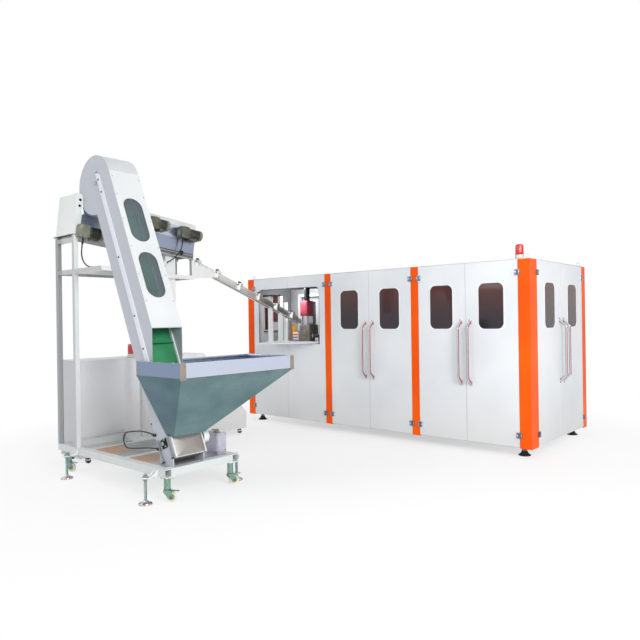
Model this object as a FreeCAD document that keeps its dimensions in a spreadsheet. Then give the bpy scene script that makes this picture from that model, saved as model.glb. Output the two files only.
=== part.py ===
import FreeCAD, Part
import math
import os
import re

import Sketcher

# Linear blow moulding machine: a guarded machine with eight doors, and beside it the loader
# that lifts preforms out of a hopper, sorts them and slides them down a chute to the machine.
# Millimetres. Origin: floor under the middle of the machine's front right foot.
# X runs to the right along the front, Y to the back, Z up.

os.makedirs("parts", exist_ok=True)
doc = FreeCAD.newDocument("blow_moulding_machine")

# ---------------------------------------------------------------- driving sizes
sizes = doc.addObject("Spreadsheet::Sheet", "sizes")
layout = doc.addObject("Spreadsheet::Sheet", "layout")
owner = {}


def put(sheet, alias, text, note):
    """One row: the note in column A, the value in column B under its alias."""
    row = 1 + sum(1 for name in owner.values() if name == sheet.Name)
    sheet.set(f"A{row}", note)
    sheet.set(f"B{row}", text)
    sheet.setAlias(f"B{row}", alias)
    owner[alias] = sheet.Name


def formula(text, home=""):
    """Write each alias in an expression with the name of the sheet that holds it."""
    def full(match):
        word = match.group(0)
        if word not in owner or owner[word] == home:
            return word
        return f"{owner[word]}.{word}"
    return re.sub(r"[a-z]\w*", full, str(text))


def size(alias, value, note):
    """A driving size, a plain number."""
    put(sizes, alias, str(value), note)


def worked(alias, text, note=""):
    """A place or size worked out from the driving sizes."""
    put(layout, alias, "=" + formula(text, "layout"), note or alias)


# machine enclosure
size("machine_length", 4100, "enclosure along the front")
size("machine_depth", 1660, "enclosure front to back")
size("machine_height", 1900, "enclosure without its feet")
size("foot_height", 90, "floor to underside of the enclosure")
size("foot_inset", 130, "foot centre from both faces of a corner")
size("foot_pad", 124, "foot pad diameter")
size("foot_neck", 62, "foot neck diameter")
size("corner_post", 120, "corner post width on the front")
size("end_post", 183, "corner post width on the end")
size("back_post", 119, "back corner post width on the end")
size("inner_post", 95, "middle post width")
size("inner_post_depth", 40, "middle post depth")
size("post_wall", 3, "post sheet")
size("feed_bay", 1317, "clear width of the left bay")
size("middle_bay", 1190, "clear width of the middle bay")
size("rail_width", 80, "frame rail front to back")
size("rail_gap", 40, "outer face to frame rail")
size("base_rail", 100, "base rail height")
size("top_rail", 60, "top rail height")
size("rail_wall", 4, "frame rail wall")
size("sheet", 2.5, "door and panel sheet")
size("roof_sheet", 3, "roof sheet")
# doors
size("door_depth", 35, "folded edge of a door")
size("door_gap", 4, "door to post")
size("seam_gap", 4, "door to door")
size("door_top_gap", 7, "door top to enclosure top")
size("door_foot_gap", 12, "door foot to enclosure underside")
size("window_width", 280, "door window width")
size("window_height", 480, "door window height")
size("window_low", 1197, "window foot above the enclosure underside")
size("window_corner", 38, "window corner radius")
size("window_lip", 15, "window flange behind the skin")
size("pane", 5, "window thickness behind the skin")
size("pane_proud", 1.5, "window face before the skin")
size("pane_fit", 0.3, "window edge to skin")
size("handle_low", 616, "handle foot above the enclosure underside")
size("handle_high", 1281, "handle top above the enclosure underside")
size("handle_stand", 70, "handle bar before the door")
size("handle_tube", 22, "handle tube")
size("handle_apart", 110, "handle to handle over a seam")
size("hinge_reach", 50, "hinge leaf from pin to edge")
size("hinge_tall", 55, "hinge height")
size("hinge_thick", 8, "hinge leaf thickness")
size("hinge_knuckle", 16, "hinge knuckle diameter")
size("hinge_low", 130, "lower hinge centre above the enclosure underside")
size("hinge_high", 1768, "upper hinge centre above the enclosure underside")
size("pin_stand", 10, "hinge pin before the door face")
size("knuckle_gap", 0.5, "clearance between hinge knuckles")
size("opening_stile", 100, "feed opening to post")
size("opening_low", 1010, "feed opening foot above the enclosure underside")
size("opening_high", 1745, "feed opening top above the enclosure underside")
size("opening_corner", 60, "feed opening upper corner radius")
size("end_window_near", 130, "left end window near edge, Y")
size("end_window_wide", 350, "left end window width")
size("end_window_low", 1165, "left end window foot above the enclosure underside")
size("end_window_tall", 515, "left end window height")
size("end_window_lap", 20, "left end pane behind the panel, all round")
# signal lamps
size("lamp_across", 88, "signal lamp diameter")
size("lamp_base", 45, "signal lamp base height")
size("lamp_dome", 102, "signal lamp dome height")
size("eye_ring", 40, "lifting eye diameter")
size("eye_bar", 10, "lifting eye bar")
# inside the machine
size("bed_height", 1010, "bed top above the enclosure underside")
size("bed_front", 150, "bed front, Y")
size("bed_depth", 1050, "bed front to back")
size("bed_inset", 250, "bed end to enclosure end")
size("bed_top", 20, "bed top plate")
size("bed_wall", 8, "bed side plate")
size("shelf_lift", 6, "infeed shelf over the bed top")
size("shelf_thick", 12, "infeed shelf thickness")
size("clamp_long", 760, "clamp along the machine")
size("clamp_deep", 900, "clamp front to back")
size("clamp_plate", 60, "clamp end plate")
size("clamp_tall", 470, "clamp end plate height")
size("bridge_wide", 420, "clamp bridge along the machine")
size("column", 30, "guide column diameter")
size("tie_bar", 50, "tie bar diameter")
size("tie_fit", 0.4, "platen bore over tie bar, all round")
size("platen_thick", 70, "moving platen thickness")
size("mould_long", 540, "mould half along the machine")
size("mould_deep", 110, "mould half front to back")
size("mould_tall", 300, "mould half height")
size("mould_open", 60, "mould half from the parting plane, open")
size("cavity", 80, "bottle cavity diameter")
size("cavity_pitch", 120, "bottle cavity to cavity")
size("bottle_neck", 30, "mould neck bore")
size("rod_travel", 180, "stretch rod stroke")
size("oven_long", 900, "oven length")
size("oven_deep", 420, "oven front to back")
size("oven_tall", 560, "oven height")
size("oven_wall", 30, "oven reflector wall")
size("lamp_tube", 12, "oven lamp tube")
# loader
size("lift_near", -3186, "elevator near side, Y")
size("lift_width", 300, "elevator width")
size("lean", 24.2, "elevator from upright, degrees")
size("tail_x", -1659, "elevator tail back corner, X")
size("lift_front", 338, "elevator thickness under the cover")
size("lift_low_front", 200, "elevator thickness below the mouth")
size("head_run", 2596, "tail to head centre along the elevator")
size("head_radius", 270, "head casing radius")
size("mouth_x", -1783, "mouth edge, X")
size("lift_sheet", 3, "elevator sheet")
size("port_wide", 236, "elevator window width")
size("port_tall", 436, "elevator window height")
size("port_corner", 100, "elevator window corner radius")
size("port_start", 275, "lower elevator window above the mouth")
size("port_between", 105, "bar between the elevator windows")
size("port_lap", 12, "elevator pane behind the cover, all round")
size("drum_low_u", 145, "tail drum centre along the elevator")
size("drum", 120, "belt drum diameter")
size("drum_shaft", 30, "belt drum shaft diameter")
size("belt", 4, "belt thickness")
size("cleat_tall", 30, "belt cleat height")
size("cleat_pitch", 250, "cleat to cleat")
size("loader_level", 202, "base frame underside above the floor")
size("loader_tube", 60, "base frame tube")
size("tower_tube", 40, "tower tube")
size("tube_wall", 2.5, "loader tube wall")
size("tower_mid", 1870, "tower middle ring underside")
size("deck_sheet", 4, "deck plate")
size("deck_reach", 1041, "deck left edge before the elevator tail")
size("stand_stud", 24, "levelling stud diameter")
size("stand_disk", 108, "levelling disk diameter")
size("caster_wheel", 80, "caster wheel diameter")
size("caster_wide", 28, "caster wheel width")
size("caster_trail", 33, "caster wheel behind its pin")
size("caster_tall", 104, "caster height")
size("hopper_long", 1225, "hopper rim along Y")
size("hopper_wide", 601, "hopper rim along X")
size("hopper_top", 1094, "hopper rim height")
size("hopper_band", 114, "upright band of the hopper")
size("hopper_foot", 505, "hopper throat height")
size("throat_wide", 100, "hopper throat along X")
size("hopper_sheet", 3, "hopper sheet")
# sorter and chute
size("sorter_fall", 6.7, "sorter slope, degrees")
size("hood_long", 1364, "sorter hood length")
size("hood_wide", 334, "sorter hood width")
size("hood_tall", 383, "sorter hood height")
size("hood_sheet", 3, "sorter hood sheet")
size("hood_lead", 101, "hood end before the elevator side")
size("roller", 70, "sorting roller diameter")
size("roller_gap", 32, "gap between the sorting rollers")
size("roller_shaft", 20, "sorting roller shaft")
size("roller_z", 75, "roller axis above the hood's foot")
size("motor_seat", 0.3, "gearbox to what carries it")
size("tail_motor", 112, "tail drum motor diameter")
size("tail_flange", 54, "tail drum motor flange length")
size("tail_can", 62, "tail drum motor can length")
size("shaft_fit", 0.4, "bearing bore over shaft, all round")
size("kick_across", 200, "kick wheel diameter")
size("gearbox", 95, "gearbox length")
size("motor_across", 110, "geared motor diameter")
size("chute_turn", 6.04, "chute from straight back, degrees")
size("chute_fall", 18.69, "chute slope, degrees")
size("chute_long", 2097, "chute length")
size("rail_tall", 60, "chute rail height")
size("rail_thick", 5, "chute rail thickness")
size("rail_between", 32, "gap between the chute rails")
# cabinet
size("cabinet_face", -3245, "control cabinet side nearest the loader, X")
size("cabinet_near", -3050, "control cabinet near end, Y")
size("cabinet_long", 2200, "control cabinet along Y")
size("cabinet_deep", 400, "control cabinet along X")
size("cabinet_low", 65, "control cabinet underside")
size("cabinet_top", 1034, "control cabinet top")
size("cabinet_sheet", 3, "control cabinet sheet")

# ---------------------------------------------------------------- places worked out
worked("right_x", "foot_inset")
worked("left_x", "foot_inset - machine_length")
worked("front_y", "0 - foot_inset")
worked("back_y", "machine_depth - foot_inset")
worked("base_z", "foot_height")
worked("top_z", "foot_height + machine_height")
worked("bay_feed", "left_x + corner_post", "left bay, left edge")
worked("post_feed", "bay_feed + feed_bay", "second post, left edge")
worked("bay_middle", "post_feed + inner_post", "middle bay, left edge")
worked("post_middle", "bay_middle + middle_bay", "third post, left edge")
worked("bay_blow", "post_middle + inner_post", "right bay, left edge")
worked("bay_end", "right_x - corner_post", "right bay, right edge")
worked("end_near", "front_y + end_post", "end doors, near edge")
worked("end_far", "back_y - back_post", "end doors, far edge")
worked("rail_front", "front_y + rail_gap")
worked("rail_back", "back_y - rail_gap")
worked("rail_left", "left_x + rail_gap")
worked("rail_right", "right_x - rail_gap")
worked("door_low", "base_z + door_foot_gap")
worked("door_high", "top_z - door_top_gap")
worked("bed_z", "base_z + bed_height", "top of the bed")
worked("shelf_low", "bed_z + shelf_lift", "underside of the infeed shelf, over the doors")
worked("shelf_top", "shelf_low + shelf_thick")
worked("bed_mid", "bed_front + bed_depth / 2")
worked("clamp_x", "(bay_blow + bay_end) / 2", "middle of the clamp")
worked("clamp_near", "bed_mid - clamp_deep / 2")
worked("clamp_far", "bed_mid + clamp_deep / 2")
worked("clamp_low", "bed_z + 40", "top of the clamp sole plate")
worked("clamp_high", "clamp_low + clamp_tall")
worked("platen_face", "mould_open + mould_deep", "parting plane to platen, open")
worked("lean_sin", "sin(lean)")
worked("lean_cos", "cos(lean)")
worked("fall_sin", "sin(sorter_fall)")
worked("fall_cos", "cos(sorter_fall)")
worked("loader_top", "loader_level + loader_tube", "deck level of the loader")
worked("deck_z", "loader_top + deck_sheet")
worked("tail_z", "deck_z", "elevator tail rests on the deck")
worked("lift_far", "lift_near + lift_width")
worked("lift_mid", "lift_near + lift_width / 2")
worked("head_v", "lift_front - head_radius", "head centre across the elevator")
worked("head_x", "tail_x - lean_sin * head_run + lean_cos * head_v")
worked("head_z", "tail_z + lean_cos * head_run + lean_sin * head_v")
worked("spout_left", "head_x - head_radius")
worked("spout_low", "head_z - 190")
worked("mouth_u", "(tail_x + lift_front * lean_cos - mouth_x) / lean_sin")
worked("mouth_low_u", "mouth_u - (lift_front - lift_low_front) * lean_cos / lean_sin")
worked("drum_v", "lift_low_front / 2")
worked("sorter_x", "spout_left + 62 - hood_wide / 2", "middle of the sorter")
worked("sorter_y", "lift_near - hood_lead")
worked("sorter_z", "spout_low - 236")
worked("tower_left", "sorter_x - hood_wide / 2 - 26")
worked("tower_right", "tower_left + hood_wide + 26 - tower_tube")
worked("tower_near", "lift_near - 94")
worked("tower_far", "tower_near + 1330")
worked("loader_right", "tail_x + 168")
worked("loader_far", "lift_far + 349")
worked("mid_top", "tower_mid + tower_tube")
worked("roller_x", "(roller + roller_gap) / 2", "roller axis from the sorter's middle")
worked("knuckle_tall", "(hinge_tall - 2 * knuckle_gap) / 3", "hinge knuckle height")
worked("feed_leaf", "(feed_bay - 2 * door_gap - seam_gap) / 2", "feed door width")
worked("middle_leaf", "(middle_bay - 2 * door_gap - seam_gap) / 2", "middle door width")
worked("blow_leaf", "(bay_end - bay_blow - 2 * door_gap - seam_gap) / 2", "right bay door width")
worked("end_leaf", "(end_far - end_near - 2 * door_gap - seam_gap) / 2", "end door width")
worked("oven_x", "(bay_middle + post_middle) / 2", "middle of the oven")
worked("infeed_y", "bed_front + 20", "near face of the infeed works")
worked("deck_left", "tail_x - deck_reach", "left edge of the deck")
worked("wheel_z", "caster_wheel / 2", "wheel axle height")
worked("fork_leg", "caster_wide / 2 + 3", "fork cheek from the wheel's middle")
worked("port_low", "mouth_u + port_start", "foot of the lower elevator window")
worked("port_step", "port_tall + port_between", "elevator window to window")
worked("cabinet_far", "cabinet_near + cabinet_long", "control cabinet far end")
worked("hopper_right", "tail_x + 392")
worked("hopper_left", "hopper_right - hopper_wide")
worked("hopper_near", "lift_near - 94")
worked("hopper_far", "hopper_near + hopper_long")
worked("hopper_knee", "hopper_top - hopper_band")
worked("throat_right", "tail_x + 159")
worked("throat_left", "throat_right - throat_wide")
worked("chute_x", "sorter_x", "upper end of the chute")
worked("chute_y", "sorter_y + hood_long * fall_cos + 127")
worked("chute_z", "sorter_z - hood_long * fall_sin - 22")
worked("turn_sin", "sin(chute_turn)")
worked("turn_cos", "cos(chute_turn)")
worked("chute_tan", "tan(chute_fall)")
worked("chute_cos", "cos(chute_fall)")
worked("chute_flat", "chute_long * cos(chute_fall)", "length of the chute seen from above")
doc.recompute()


def value(alias):
    """Today's number behind an alias."""
    return float(getattr(doc.getObject(owner[alias]), alias))


def bind(thing, prop, text):
    """Tie one property to an expression in the sheets' aliases."""
    thing.setExpression(prop, formula(text))


# ---------------------------------------------------------------- ways to make a shape
TURNS = {"x": FreeCAD.Rotation(FreeCAD.Vector(0, 1, 0), 90),
         "y": FreeCAD.Rotation(FreeCAD.Vector(1, 0, 0), -90),
         "z": FreeCAD.Rotation()}


def box(name, x, y, z):
    """A block given by its two faces each way."""
    block = doc.addObject("Part::Box", name)
    for side, axis, (low, high) in (("Length", "x", x), ("Width", "y", y), ("Height", "z", z)):
        bind(block, side, f"({high}) - ({low})")
        bind(block, f"Placement.Base.{axis}", low)
    return block


def rod(name, axis, start, long, across):
    """A round bar that runs along one axis from its start point."""
    bar = doc.addObject("Part::Cylinder", name)
    bar.Placement = FreeCAD.Placement(FreeCAD.Vector(), TURNS[axis])
    bind(bar, "Radius", f"({across}) / 2")
    bind(bar, "Height", long)
    for letter, place in zip("xyz", start):
        bind(bar, f"Placement.Base.{letter}", place)
    return bar


def join(name, pieces):
    """Several pieces made into one."""
    result = doc.addObject("Part::MultiFuse", name)
    result.Shapes = pieces
    result.Refine = True
    return result


def cut(name, base, *tools):
    """A piece less one or more tools."""
    result = doc.addObject("Part::Cut", name)
    result.Base = base
    result.Tool = tools[0] if len(tools) == 1 else join(name + "_tools", list(tools))
    result.Refine = True
    return result


def group(name, pieces):
    """Separate pieces kept together in one node."""
    result = doc.addObject("Part::Compound", name)
    result.Links = pieces
    return result


def tube(name, axis, x, y, z, wall):
    """A box section with open ends, running along one axis."""
    spans = {"x": x, "y": y, "z": z}
    bore = {key: span if key == axis else (f"({span[0]}) + {wall}", f"({span[1]}) - {wall}")
            for key, span in spans.items()}
    outer = box(name + "_outer", x, y, z)
    inner = box(name + "_bore", bore["x"], bore["y"], bore["z"])
    return cut(name, outer, inner)


def sketch(body, role, offset="0"):
    """A sketch on one of the body's planes, moved along the plane's normal."""
    flat = body.newObject("Sketcher::SketchObject", body.Name + "_sketch")
    plane = [item for item in body.Origin.OriginFeatures if item.Role == role][0]
    flat.AttachmentSupport = [(plane, "")]
    flat.MapMode = "FlatFace"
    bind(flat, "AttachmentOffset.Base.z", offset)
    return flat


def fix(flat, item, point, across, up):
    """Hold one point of a sketch at two bound distances from the sketch's origin."""
    spot = flat.getPoint(item, point)
    for kind, now, text in (("DistanceX", spot.x, across), ("DistanceY", spot.y, up)):
        number = flat.addConstraint(Sketcher.Constraint(kind, -1, 1, item, point, now))
        flat.setExpression(f"Constraints[{number}]", formula(text))


def polygon(flat, points):
    """A closed outline of straight lines whose corners are bound."""
    count = len(points)
    spots = [FreeCAD.Vector(100 * math.cos(2 * math.pi * i / count),
                            100 * math.sin(2 * math.pi * i / count), 0) for i in range(count)]
    first = flat.GeometryCount
    for i in range(count):
        flat.addGeometry(Part.LineSegment(spots[i], spots[(i + 1) % count]))
    for i in range(count):
        after = first + (i + 1) % count
        flat.addConstraint(Sketcher.Constraint("Coincident", first + i, 2, after, 1))
    for i, (across, up) in enumerate(points):
        fix(flat, first + i, 1, across, up)


def prism(name, plane, low, high, points):
    """An outline on a plane carried from one level to another along the plane's normal axis."""
    body = doc.addObject("PartDesign::Body", name)
    front = plane == "XZ_Plane"
    flat = sketch(body, plane, f"0 - ({low})" if front else low)
    polygon(flat, points)
    pad = body.newObject("PartDesign::Pad", name + "_pad")
    pad.Profile = flat
    pad.Reversed = front
    bind(pad, "Length", f"({high}) - ({low})")
    return body


def rounded(flat, left, low, right, high, radius):
    """A rounded rectangle: straight sides and quarter arcs that meet smoothly."""
    a, c, r = 60, 60, 10
    sides = [((-a + r, -c), (a - r, -c)), ((a, -c + r), (a, c - r)),
             ((a - r, c), (-a + r, c)), ((-a, c - r), (-a, -c + r))]
    corners = [(a - r, -c + r, -90), (a - r, c - r, 0), (-a + r, c - r, 90), (-a + r, -c + r, 180)]
    first = flat.GeometryCount
    for (p, q), (x, y, start) in zip(sides, corners):
        flat.addGeometry(Part.LineSegment(FreeCAD.Vector(*p, 0), FreeCAD.Vector(*q, 0)))
        circle = Part.Circle(FreeCAD.Vector(x, y, 0), FreeCAD.Vector(0, 0, 1), r)
        flat.addGeometry(Part.ArcOfCircle(circle, math.radians(start), math.radians(start + 90)))
    for i in range(4):
        line, arc, after = first + 2 * i, first + 2 * i + 1, first + (2 * i + 2) % 8
        flat.addConstraint(Sketcher.Constraint("Tangent", line, 2, arc, 1))
        flat.addConstraint(Sketcher.Constraint("Tangent", arc, 2, after, 1))
        flat.addConstraint(Sketcher.Constraint("Horizontal" if i % 2 == 0 else "Vertical", line))
        if i:
            flat.addConstraint(Sketcher.Constraint("Equal", first + 1, arc))
    number = flat.addConstraint(Sketcher.Constraint("Radius", first + 1, r))
    flat.setExpression(f"Constraints[{number}]", formula(radius))
    for item, kind, now, text in ((first, "DistanceY", -c, low), (first + 2, "DistanceX", a, right),
                                  (first + 4, "DistanceY", c, high),
                                  (first + 6, "DistanceX", -a, left)):
        number = flat.addConstraint(Sketcher.Constraint(kind, -1, 1, item, 1, now))
        flat.setExpression(f"Constraints[{number}]", formula(text))


def turned(name, points, place):
    """A round piece: half an outline (radius, height) turned about an upright axis."""
    body = doc.addObject("PartDesign::Body", name)
    flat = sketch(body, "XZ_Plane")
    polygon(flat, points)
    spin = body.newObject("PartDesign::Revolution", name + "_turn")
    spin.Profile = flat
    spin.ReferenceAxis = (flat, ["V_Axis"])
    spin.Angle = 360
    for letter, text in zip("xyz", place):
        bind(body, f"Placement.Base.{letter}", text)
    return body


def hull(name, loops):
    """A solid between two corner loops: flat ends and four flat sides, from bound corners."""
    body = doc.addObject("PartDesign::Body", name)
    flats = []
    for level, corners in loops:
        flat = sketch(body, "XY_Plane", level)
        polygon(flat, corners)
        flats.append(flat)
    loft = body.newObject("PartDesign::AdditiveLoft", name + "_loft")
    loft.Profile = flats[0]
    loft.Sections = flats[1:]
    loft.Ruled = True
    return body


def up_lift(along, across):
    """World X and Z of a point given along and across the leaning elevator."""
    return (f"(tail_x - lean_sin * ({along}) + lean_cos * ({across}))",
            f"(tail_z + lean_cos * ({along}) + lean_sin * ({across}))")


def set_lift(thing):
    """Lean a piece that was made upright at the elevator's tail corner."""
    bind(thing, "Placement",
         "placement(vector(tail_x; lift_near; tail_z); rotation(0; 0 - lean; 0))")


def set_sorter(thing):
    """Slope a piece that was made level at the sorter's near foot."""
    bind(thing, "Placement",
         "placement(vector(sorter_x; sorter_y; sorter_z); rotation(0; 0; 0 - sorter_fall))")


def set_chute(thing):
    """Turn and slope a piece that was made along X at the chute's upper end."""
    bind(thing, "Placement",
         "placement(vector(chute_x; chute_y; chute_z); rotation(90 + chute_turn; chute_fall; 0))")


NODES = []


def node(thing, label):
    """A finished sub-part, named for its file."""
    thing.Label = label
    NODES.append(thing)
    return thing


# ---------------------------------------------------------------- frame of the machine
FRONT = ("rail_front", "rail_front + rail_width")
BACK = ("rail_back - rail_width", "rail_back")
LEFT = ("rail_left", "rail_left + rail_width")
RIGHT = ("rail_right - rail_width", "rail_right")
LOW = ("base_z", "base_z + base_rail")
HIGH = ("top_z - top_rail", "top_z")


def ring(name, z):
    """Four rails between the corner posts."""
    long = ("left_x + corner_post", "right_x - corner_post")
    wide = ("front_y + end_post", "back_y - back_post")
    return [tube(name + "_front", "x", long, FRONT, z, "rail_wall"),
            tube(name + "_back", "x", long, BACK, z, "rail_wall"),
            tube(name + "_left", "y", LEFT, wide, z, "rail_wall"),
            tube(name + "_right", "y", RIGHT, wide, z, "rail_wall")]


base_rails = ring("base_ring", LOW)
between = ("rail_front + rail_width", "rail_back - rail_width")
for label, x in (("cross_feed", "post_feed"), ("cross_middle", "post_middle"),
                 ("cross_left", "bay_feed + 300"), ("cross_right", "bay_end - 300")):
    base_rails.append(tube(label, "y", (x, f"{x} + rail_width"), between, LOW, "rail_wall"))
node(group("base_frame", base_rails), "machine_base")


def lifting_eye(name, x, y):
    """A collared stud with a ring on top, at a corner of the roof."""
    collar = rod(name + "_collar", "z", (x, y, "top_z + roof_sheet"), "8", "eye_ring * 0.9")
    bar = doc.addObject("Part::Torus", name + "_ring")
    bar.Placement = FreeCAD.Placement(FreeCAD.Vector(), TURNS["y"])
    bind(bar, "Radius1", "eye_ring / 2")
    bind(bar, "Radius2", "eye_bar / 2")
    bind(bar, "Placement.Base.x", x)
    bind(bar, "Placement.Base.y", y)
    bind(bar, "Placement.Base.z", "top_z + roof_sheet + 4 + (eye_ring + eye_bar) / 2")
    return join(name, [collar, bar])


eyes = [lifting_eye("eye_" + name, x, y) for name, x, y in (
    ("front_right", "right_x - 45", "front_y + 80"), ("back_right", "right_x - 45", "back_y - 80"),
    ("front_left", "left_x + 45", "front_y + 80"), ("back_left", "left_x + 45", "back_y - 80"))]
node(group("top_frame", ring("top_ring", HIGH) + eyes), "top_rails")

posts = []
for name, x in (("left", ("left_x", "left_x + corner_post")),
                ("right", ("right_x - corner_post", "right_x"))):
    for side, y in (("front", ("front_y", "front_y + end_post")),
                    ("back", ("back_y - back_post", "back_y"))):
        posts.append(tube(f"post_{side}_{name}", "z", x, y, ("base_z", "top_z"), "post_wall"))
for name, x in (("feed", "post_feed"), ("middle", "post_middle")):
    for side, y in (("front", ("front_y", "front_y + inner_post_depth")),
                    ("back", ("back_y - inner_post_depth", "back_y"))):
        posts.append(tube(f"post_{side}_{name}", "z", (x, f"{x} + inner_post"), y,
                          ("base_z", "top_z"), "post_wall"))
node(group("posts", posts), "frame_posts")

foot_outline = [("0", "0"), ("foot_pad / 2", "0"), ("foot_pad / 2", "10"),
                ("foot_neck / 2", "foot_height * 0.45"), ("foot_neck / 2", "foot_height"),
                ("0", "foot_height")]
feet = [turned(f"foot_{name}", foot_outline, (x, y, "0")) for name, x, y in (
    ("front_right", "0", "0"), ("back_right", "0", "back_y - foot_inset"),
    ("front_left", "left_x + foot_inset", "0"),
    ("back_left", "left_x + foot_inset", "back_y - foot_inset"))]
node(group("feet", feet), "machine_feet")

# folded panels at the back and the left end, and the roof
panels = [box("roof", ("left_x", "right_x"), ("front_y", "back_y"), ("top_z", "top_z + roof_sheet"))]


def back_pan(name, left, right):
    """A folded panel that closes one bay at the back."""
    span = (f"{left} + door_gap", f"{right} - door_gap")
    outer = box(name + "_outer", span, ("rail_back", "back_y"), ("door_low", "door_high"))
    inner = box(name + "_inner", (f"{span[0]} + sheet", f"{span[1]} - sheet"),
                ("rail_back - 1", "back_y - sheet"),
                ("door_low + sheet", "door_high - sheet"))
    return cut(name, outer, inner)


panels.append(back_pan("panel_feed", "bay_feed", "post_feed"))
panels.append(back_pan("panel_middle", "bay_middle", "post_middle"))
panels.append(back_pan("panel_blow", "bay_blow", "bay_end"))
end_outer = box("panel_end_outer", ("left_x", "rail_left"),
                ("end_near + door_gap", "end_far - door_gap"), ("door_low", "door_high"))
end_inner = box("panel_end_inner", ("left_x + sheet", "rail_left + 1"),
                ("end_near + door_gap + sheet", "end_far - door_gap - sheet"),
                ("door_low + sheet", "door_high - sheet"))
end_window_y = ("end_window_near", "end_window_near + end_window_wide")
end_window_z = ("base_z + end_window_low", "base_z + end_window_low + end_window_tall")
end_hole = box("panel_end_hole", ("left_x - 1", "left_x + sheet + 1"), end_window_y, end_window_z)
panels.append(cut("panel_end", end_outer, end_inner, end_hole))
node(group("panels", panels), "fixed_panels")
end_pane = box("panel_end_pane", ("left_x + sheet", "left_x + sheet + pane"),
               *[(f"{low} - end_window_lap", f"{high} + end_window_lap")
                 for low, high in (end_window_y, end_window_z)])

# ---------------------------------------------------------------- doors

def hinge_half(name, side, level, moving):
    """Half a hinge about a pin at (0, -pin_stand): leaf to one side, its own knuckles."""
    low = f"base_z + {level} - hinge_tall / 2"
    reach = ("hinge_knuckle / 2 + 1", "hinge_reach")
    span = reach if side > 0 else (f"0 - ({reach[1]})", f"0 - ({reach[0]})")
    tab = ("0", reach[0]) if side > 0 else (f"0 - ({reach[0]})", "0")
    leaf = box(name + "_leaf", span, ("0 - hinge_thick", "0"), (low, f"{low} + hinge_tall"))
    pieces = [leaf]
    for i in ((0, 2) if moving else (1,)):
        foot = f"{low} + {i} * (knuckle_tall + knuckle_gap)"
        pieces.append(rod(f"{name}_knuckle{i}", "z", ("0", "0 - pin_stand", foot), "knuckle_tall",
                          "hinge_knuckle"))
        pieces.append(box(f"{name}_tab{i}", tab, ("0 - hinge_thick", "0 - 2"),
                          (foot, f"{foot} + knuckle_tall")))
    return join(name, pieces)


def handle(name, x):
    """A bent tube: an upright bar before the door and a sloping leg at each end."""
    low, high = "base_z + handle_low", "base_z + handle_high"
    stand = "0 - handle_stand"
    bar = rod(name + "_bar", "z", (x, stand, f"{low} + handle_stand"),
              f"({high}) - ({low}) - 2 * handle_stand", "handle_tube")
    pieces = [bar]
    for end, level, turn in (("low", low, 45), ("high", high, 135)):
        leg = doc.addObject("Part::Cylinder", f"{name}_{end}_leg")
        leg.Placement = FreeCAD.Placement(FreeCAD.Vector(),
                                          FreeCAD.Rotation(FreeCAD.Vector(1, 0, 0), turn))
        bind(leg, "Radius", "handle_tube / 2")
        bind(leg, "Height", "handle_stand * sqrt(2)")
        bind(leg, "Placement.Base.x", x)
        bind(leg, "Placement.Base.z", level)
        knee = doc.addObject("Part::Sphere", f"{name}_{end}_knee")
        bind(knee, "Radius", "handle_tube / 2")
        bind(knee, "Placement.Base.x", x)
        bind(knee, "Placement.Base.y", stand)
        bind(knee, "Placement.Base.z",
             f"{low} + handle_stand" if end == "low" else f"{high} - handle_stand")
        pieces += [leg, knee]
    whole = join(name + "_whole", pieces)
    behind = box(name + "_behind", (f"{x} - 30", f"{x} + 30"), ("0", "60"),
                 (f"{low} - 60", f"{high} + 60"))
    return cut(name, whole, behind)


def pan(name, wide, windowed):
    """The folded sheet of a door, front face at Y = 0, hinge edge at X = 0, free edge at wide."""
    body = doc.addObject("PartDesign::Body", name)
    flat = sketch(body, "XZ_Plane")
    polygon(flat, [("0", "door_low"), (wide, "door_low"), (wide, "door_high"), ("0", "door_high")])
    pad = body.newObject("PartDesign::Pad", name + "_block")
    pad.Profile = flat
    pad.Reversed = True
    bind(pad, "Length", "door_depth")
    inside = sketch(body, "XZ_Plane", "0 - door_depth")
    sign = "-" if not wide.startswith("0 -") else "+"
    polygon(inside, [(f"0 {'+' if sign == '-' else '-'} sheet", "door_low + sheet"),
                     (f"{wide} {sign} sheet", "door_low + sheet"),
                     (f"{wide} {sign} sheet", "door_high - sheet"),
                     (f"0 {'+' if sign == '-' else '-'} sheet", "door_high - sheet")])
    hollow = body.newObject("PartDesign::Pocket", name + "_hollow")
    hollow.Profile = inside
    hollow.Reversed = True
    bind(hollow, "Length", "door_depth - sheet")
    if windowed:
        hole = sketch(body, "XZ_Plane")
        middle = f"({wide}) / 2"
        rounded(hole, f"{middle} - window_width / 2", "base_z + window_low",
                f"{middle} + window_width / 2", "base_z + window_low + window_height",
                "window_corner")
        through = body.newObject("PartDesign::Pocket", name + "_window")
        through.Profile = hole
        through.Type = 1
        through.Midplane = True
    return body


def window(name, wide):
    """A tinted pane: a lipped sheet behind the skin and a step that fills the hole."""
    body = doc.addObject("PartDesign::Body", name)
    middle = f"({wide}) / 2"
    for step, grow, start, thick in (("lip", "window_lip", "sheet", "pane"),
                                     ("face", "0 - pane_fit", "0 - pane_proud",
                                      "pane_proud + sheet")):
        flat = sketch(body, "XZ_Plane", f"0 - ({start})")
        rounded(flat, f"{middle} - window_width / 2 - ({grow})",
                f"base_z + window_low - ({grow})", f"{middle} + window_width / 2 + {grow}",
                f"base_z + window_low + window_height + {grow}", f"window_corner + {grow}")
        pad = body.newObject("PartDesign::Pad", f"{name}_{step}")
        pad.Profile = flat
        pad.Reversed = True
        bind(pad, "Length", thick)
    return body


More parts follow.
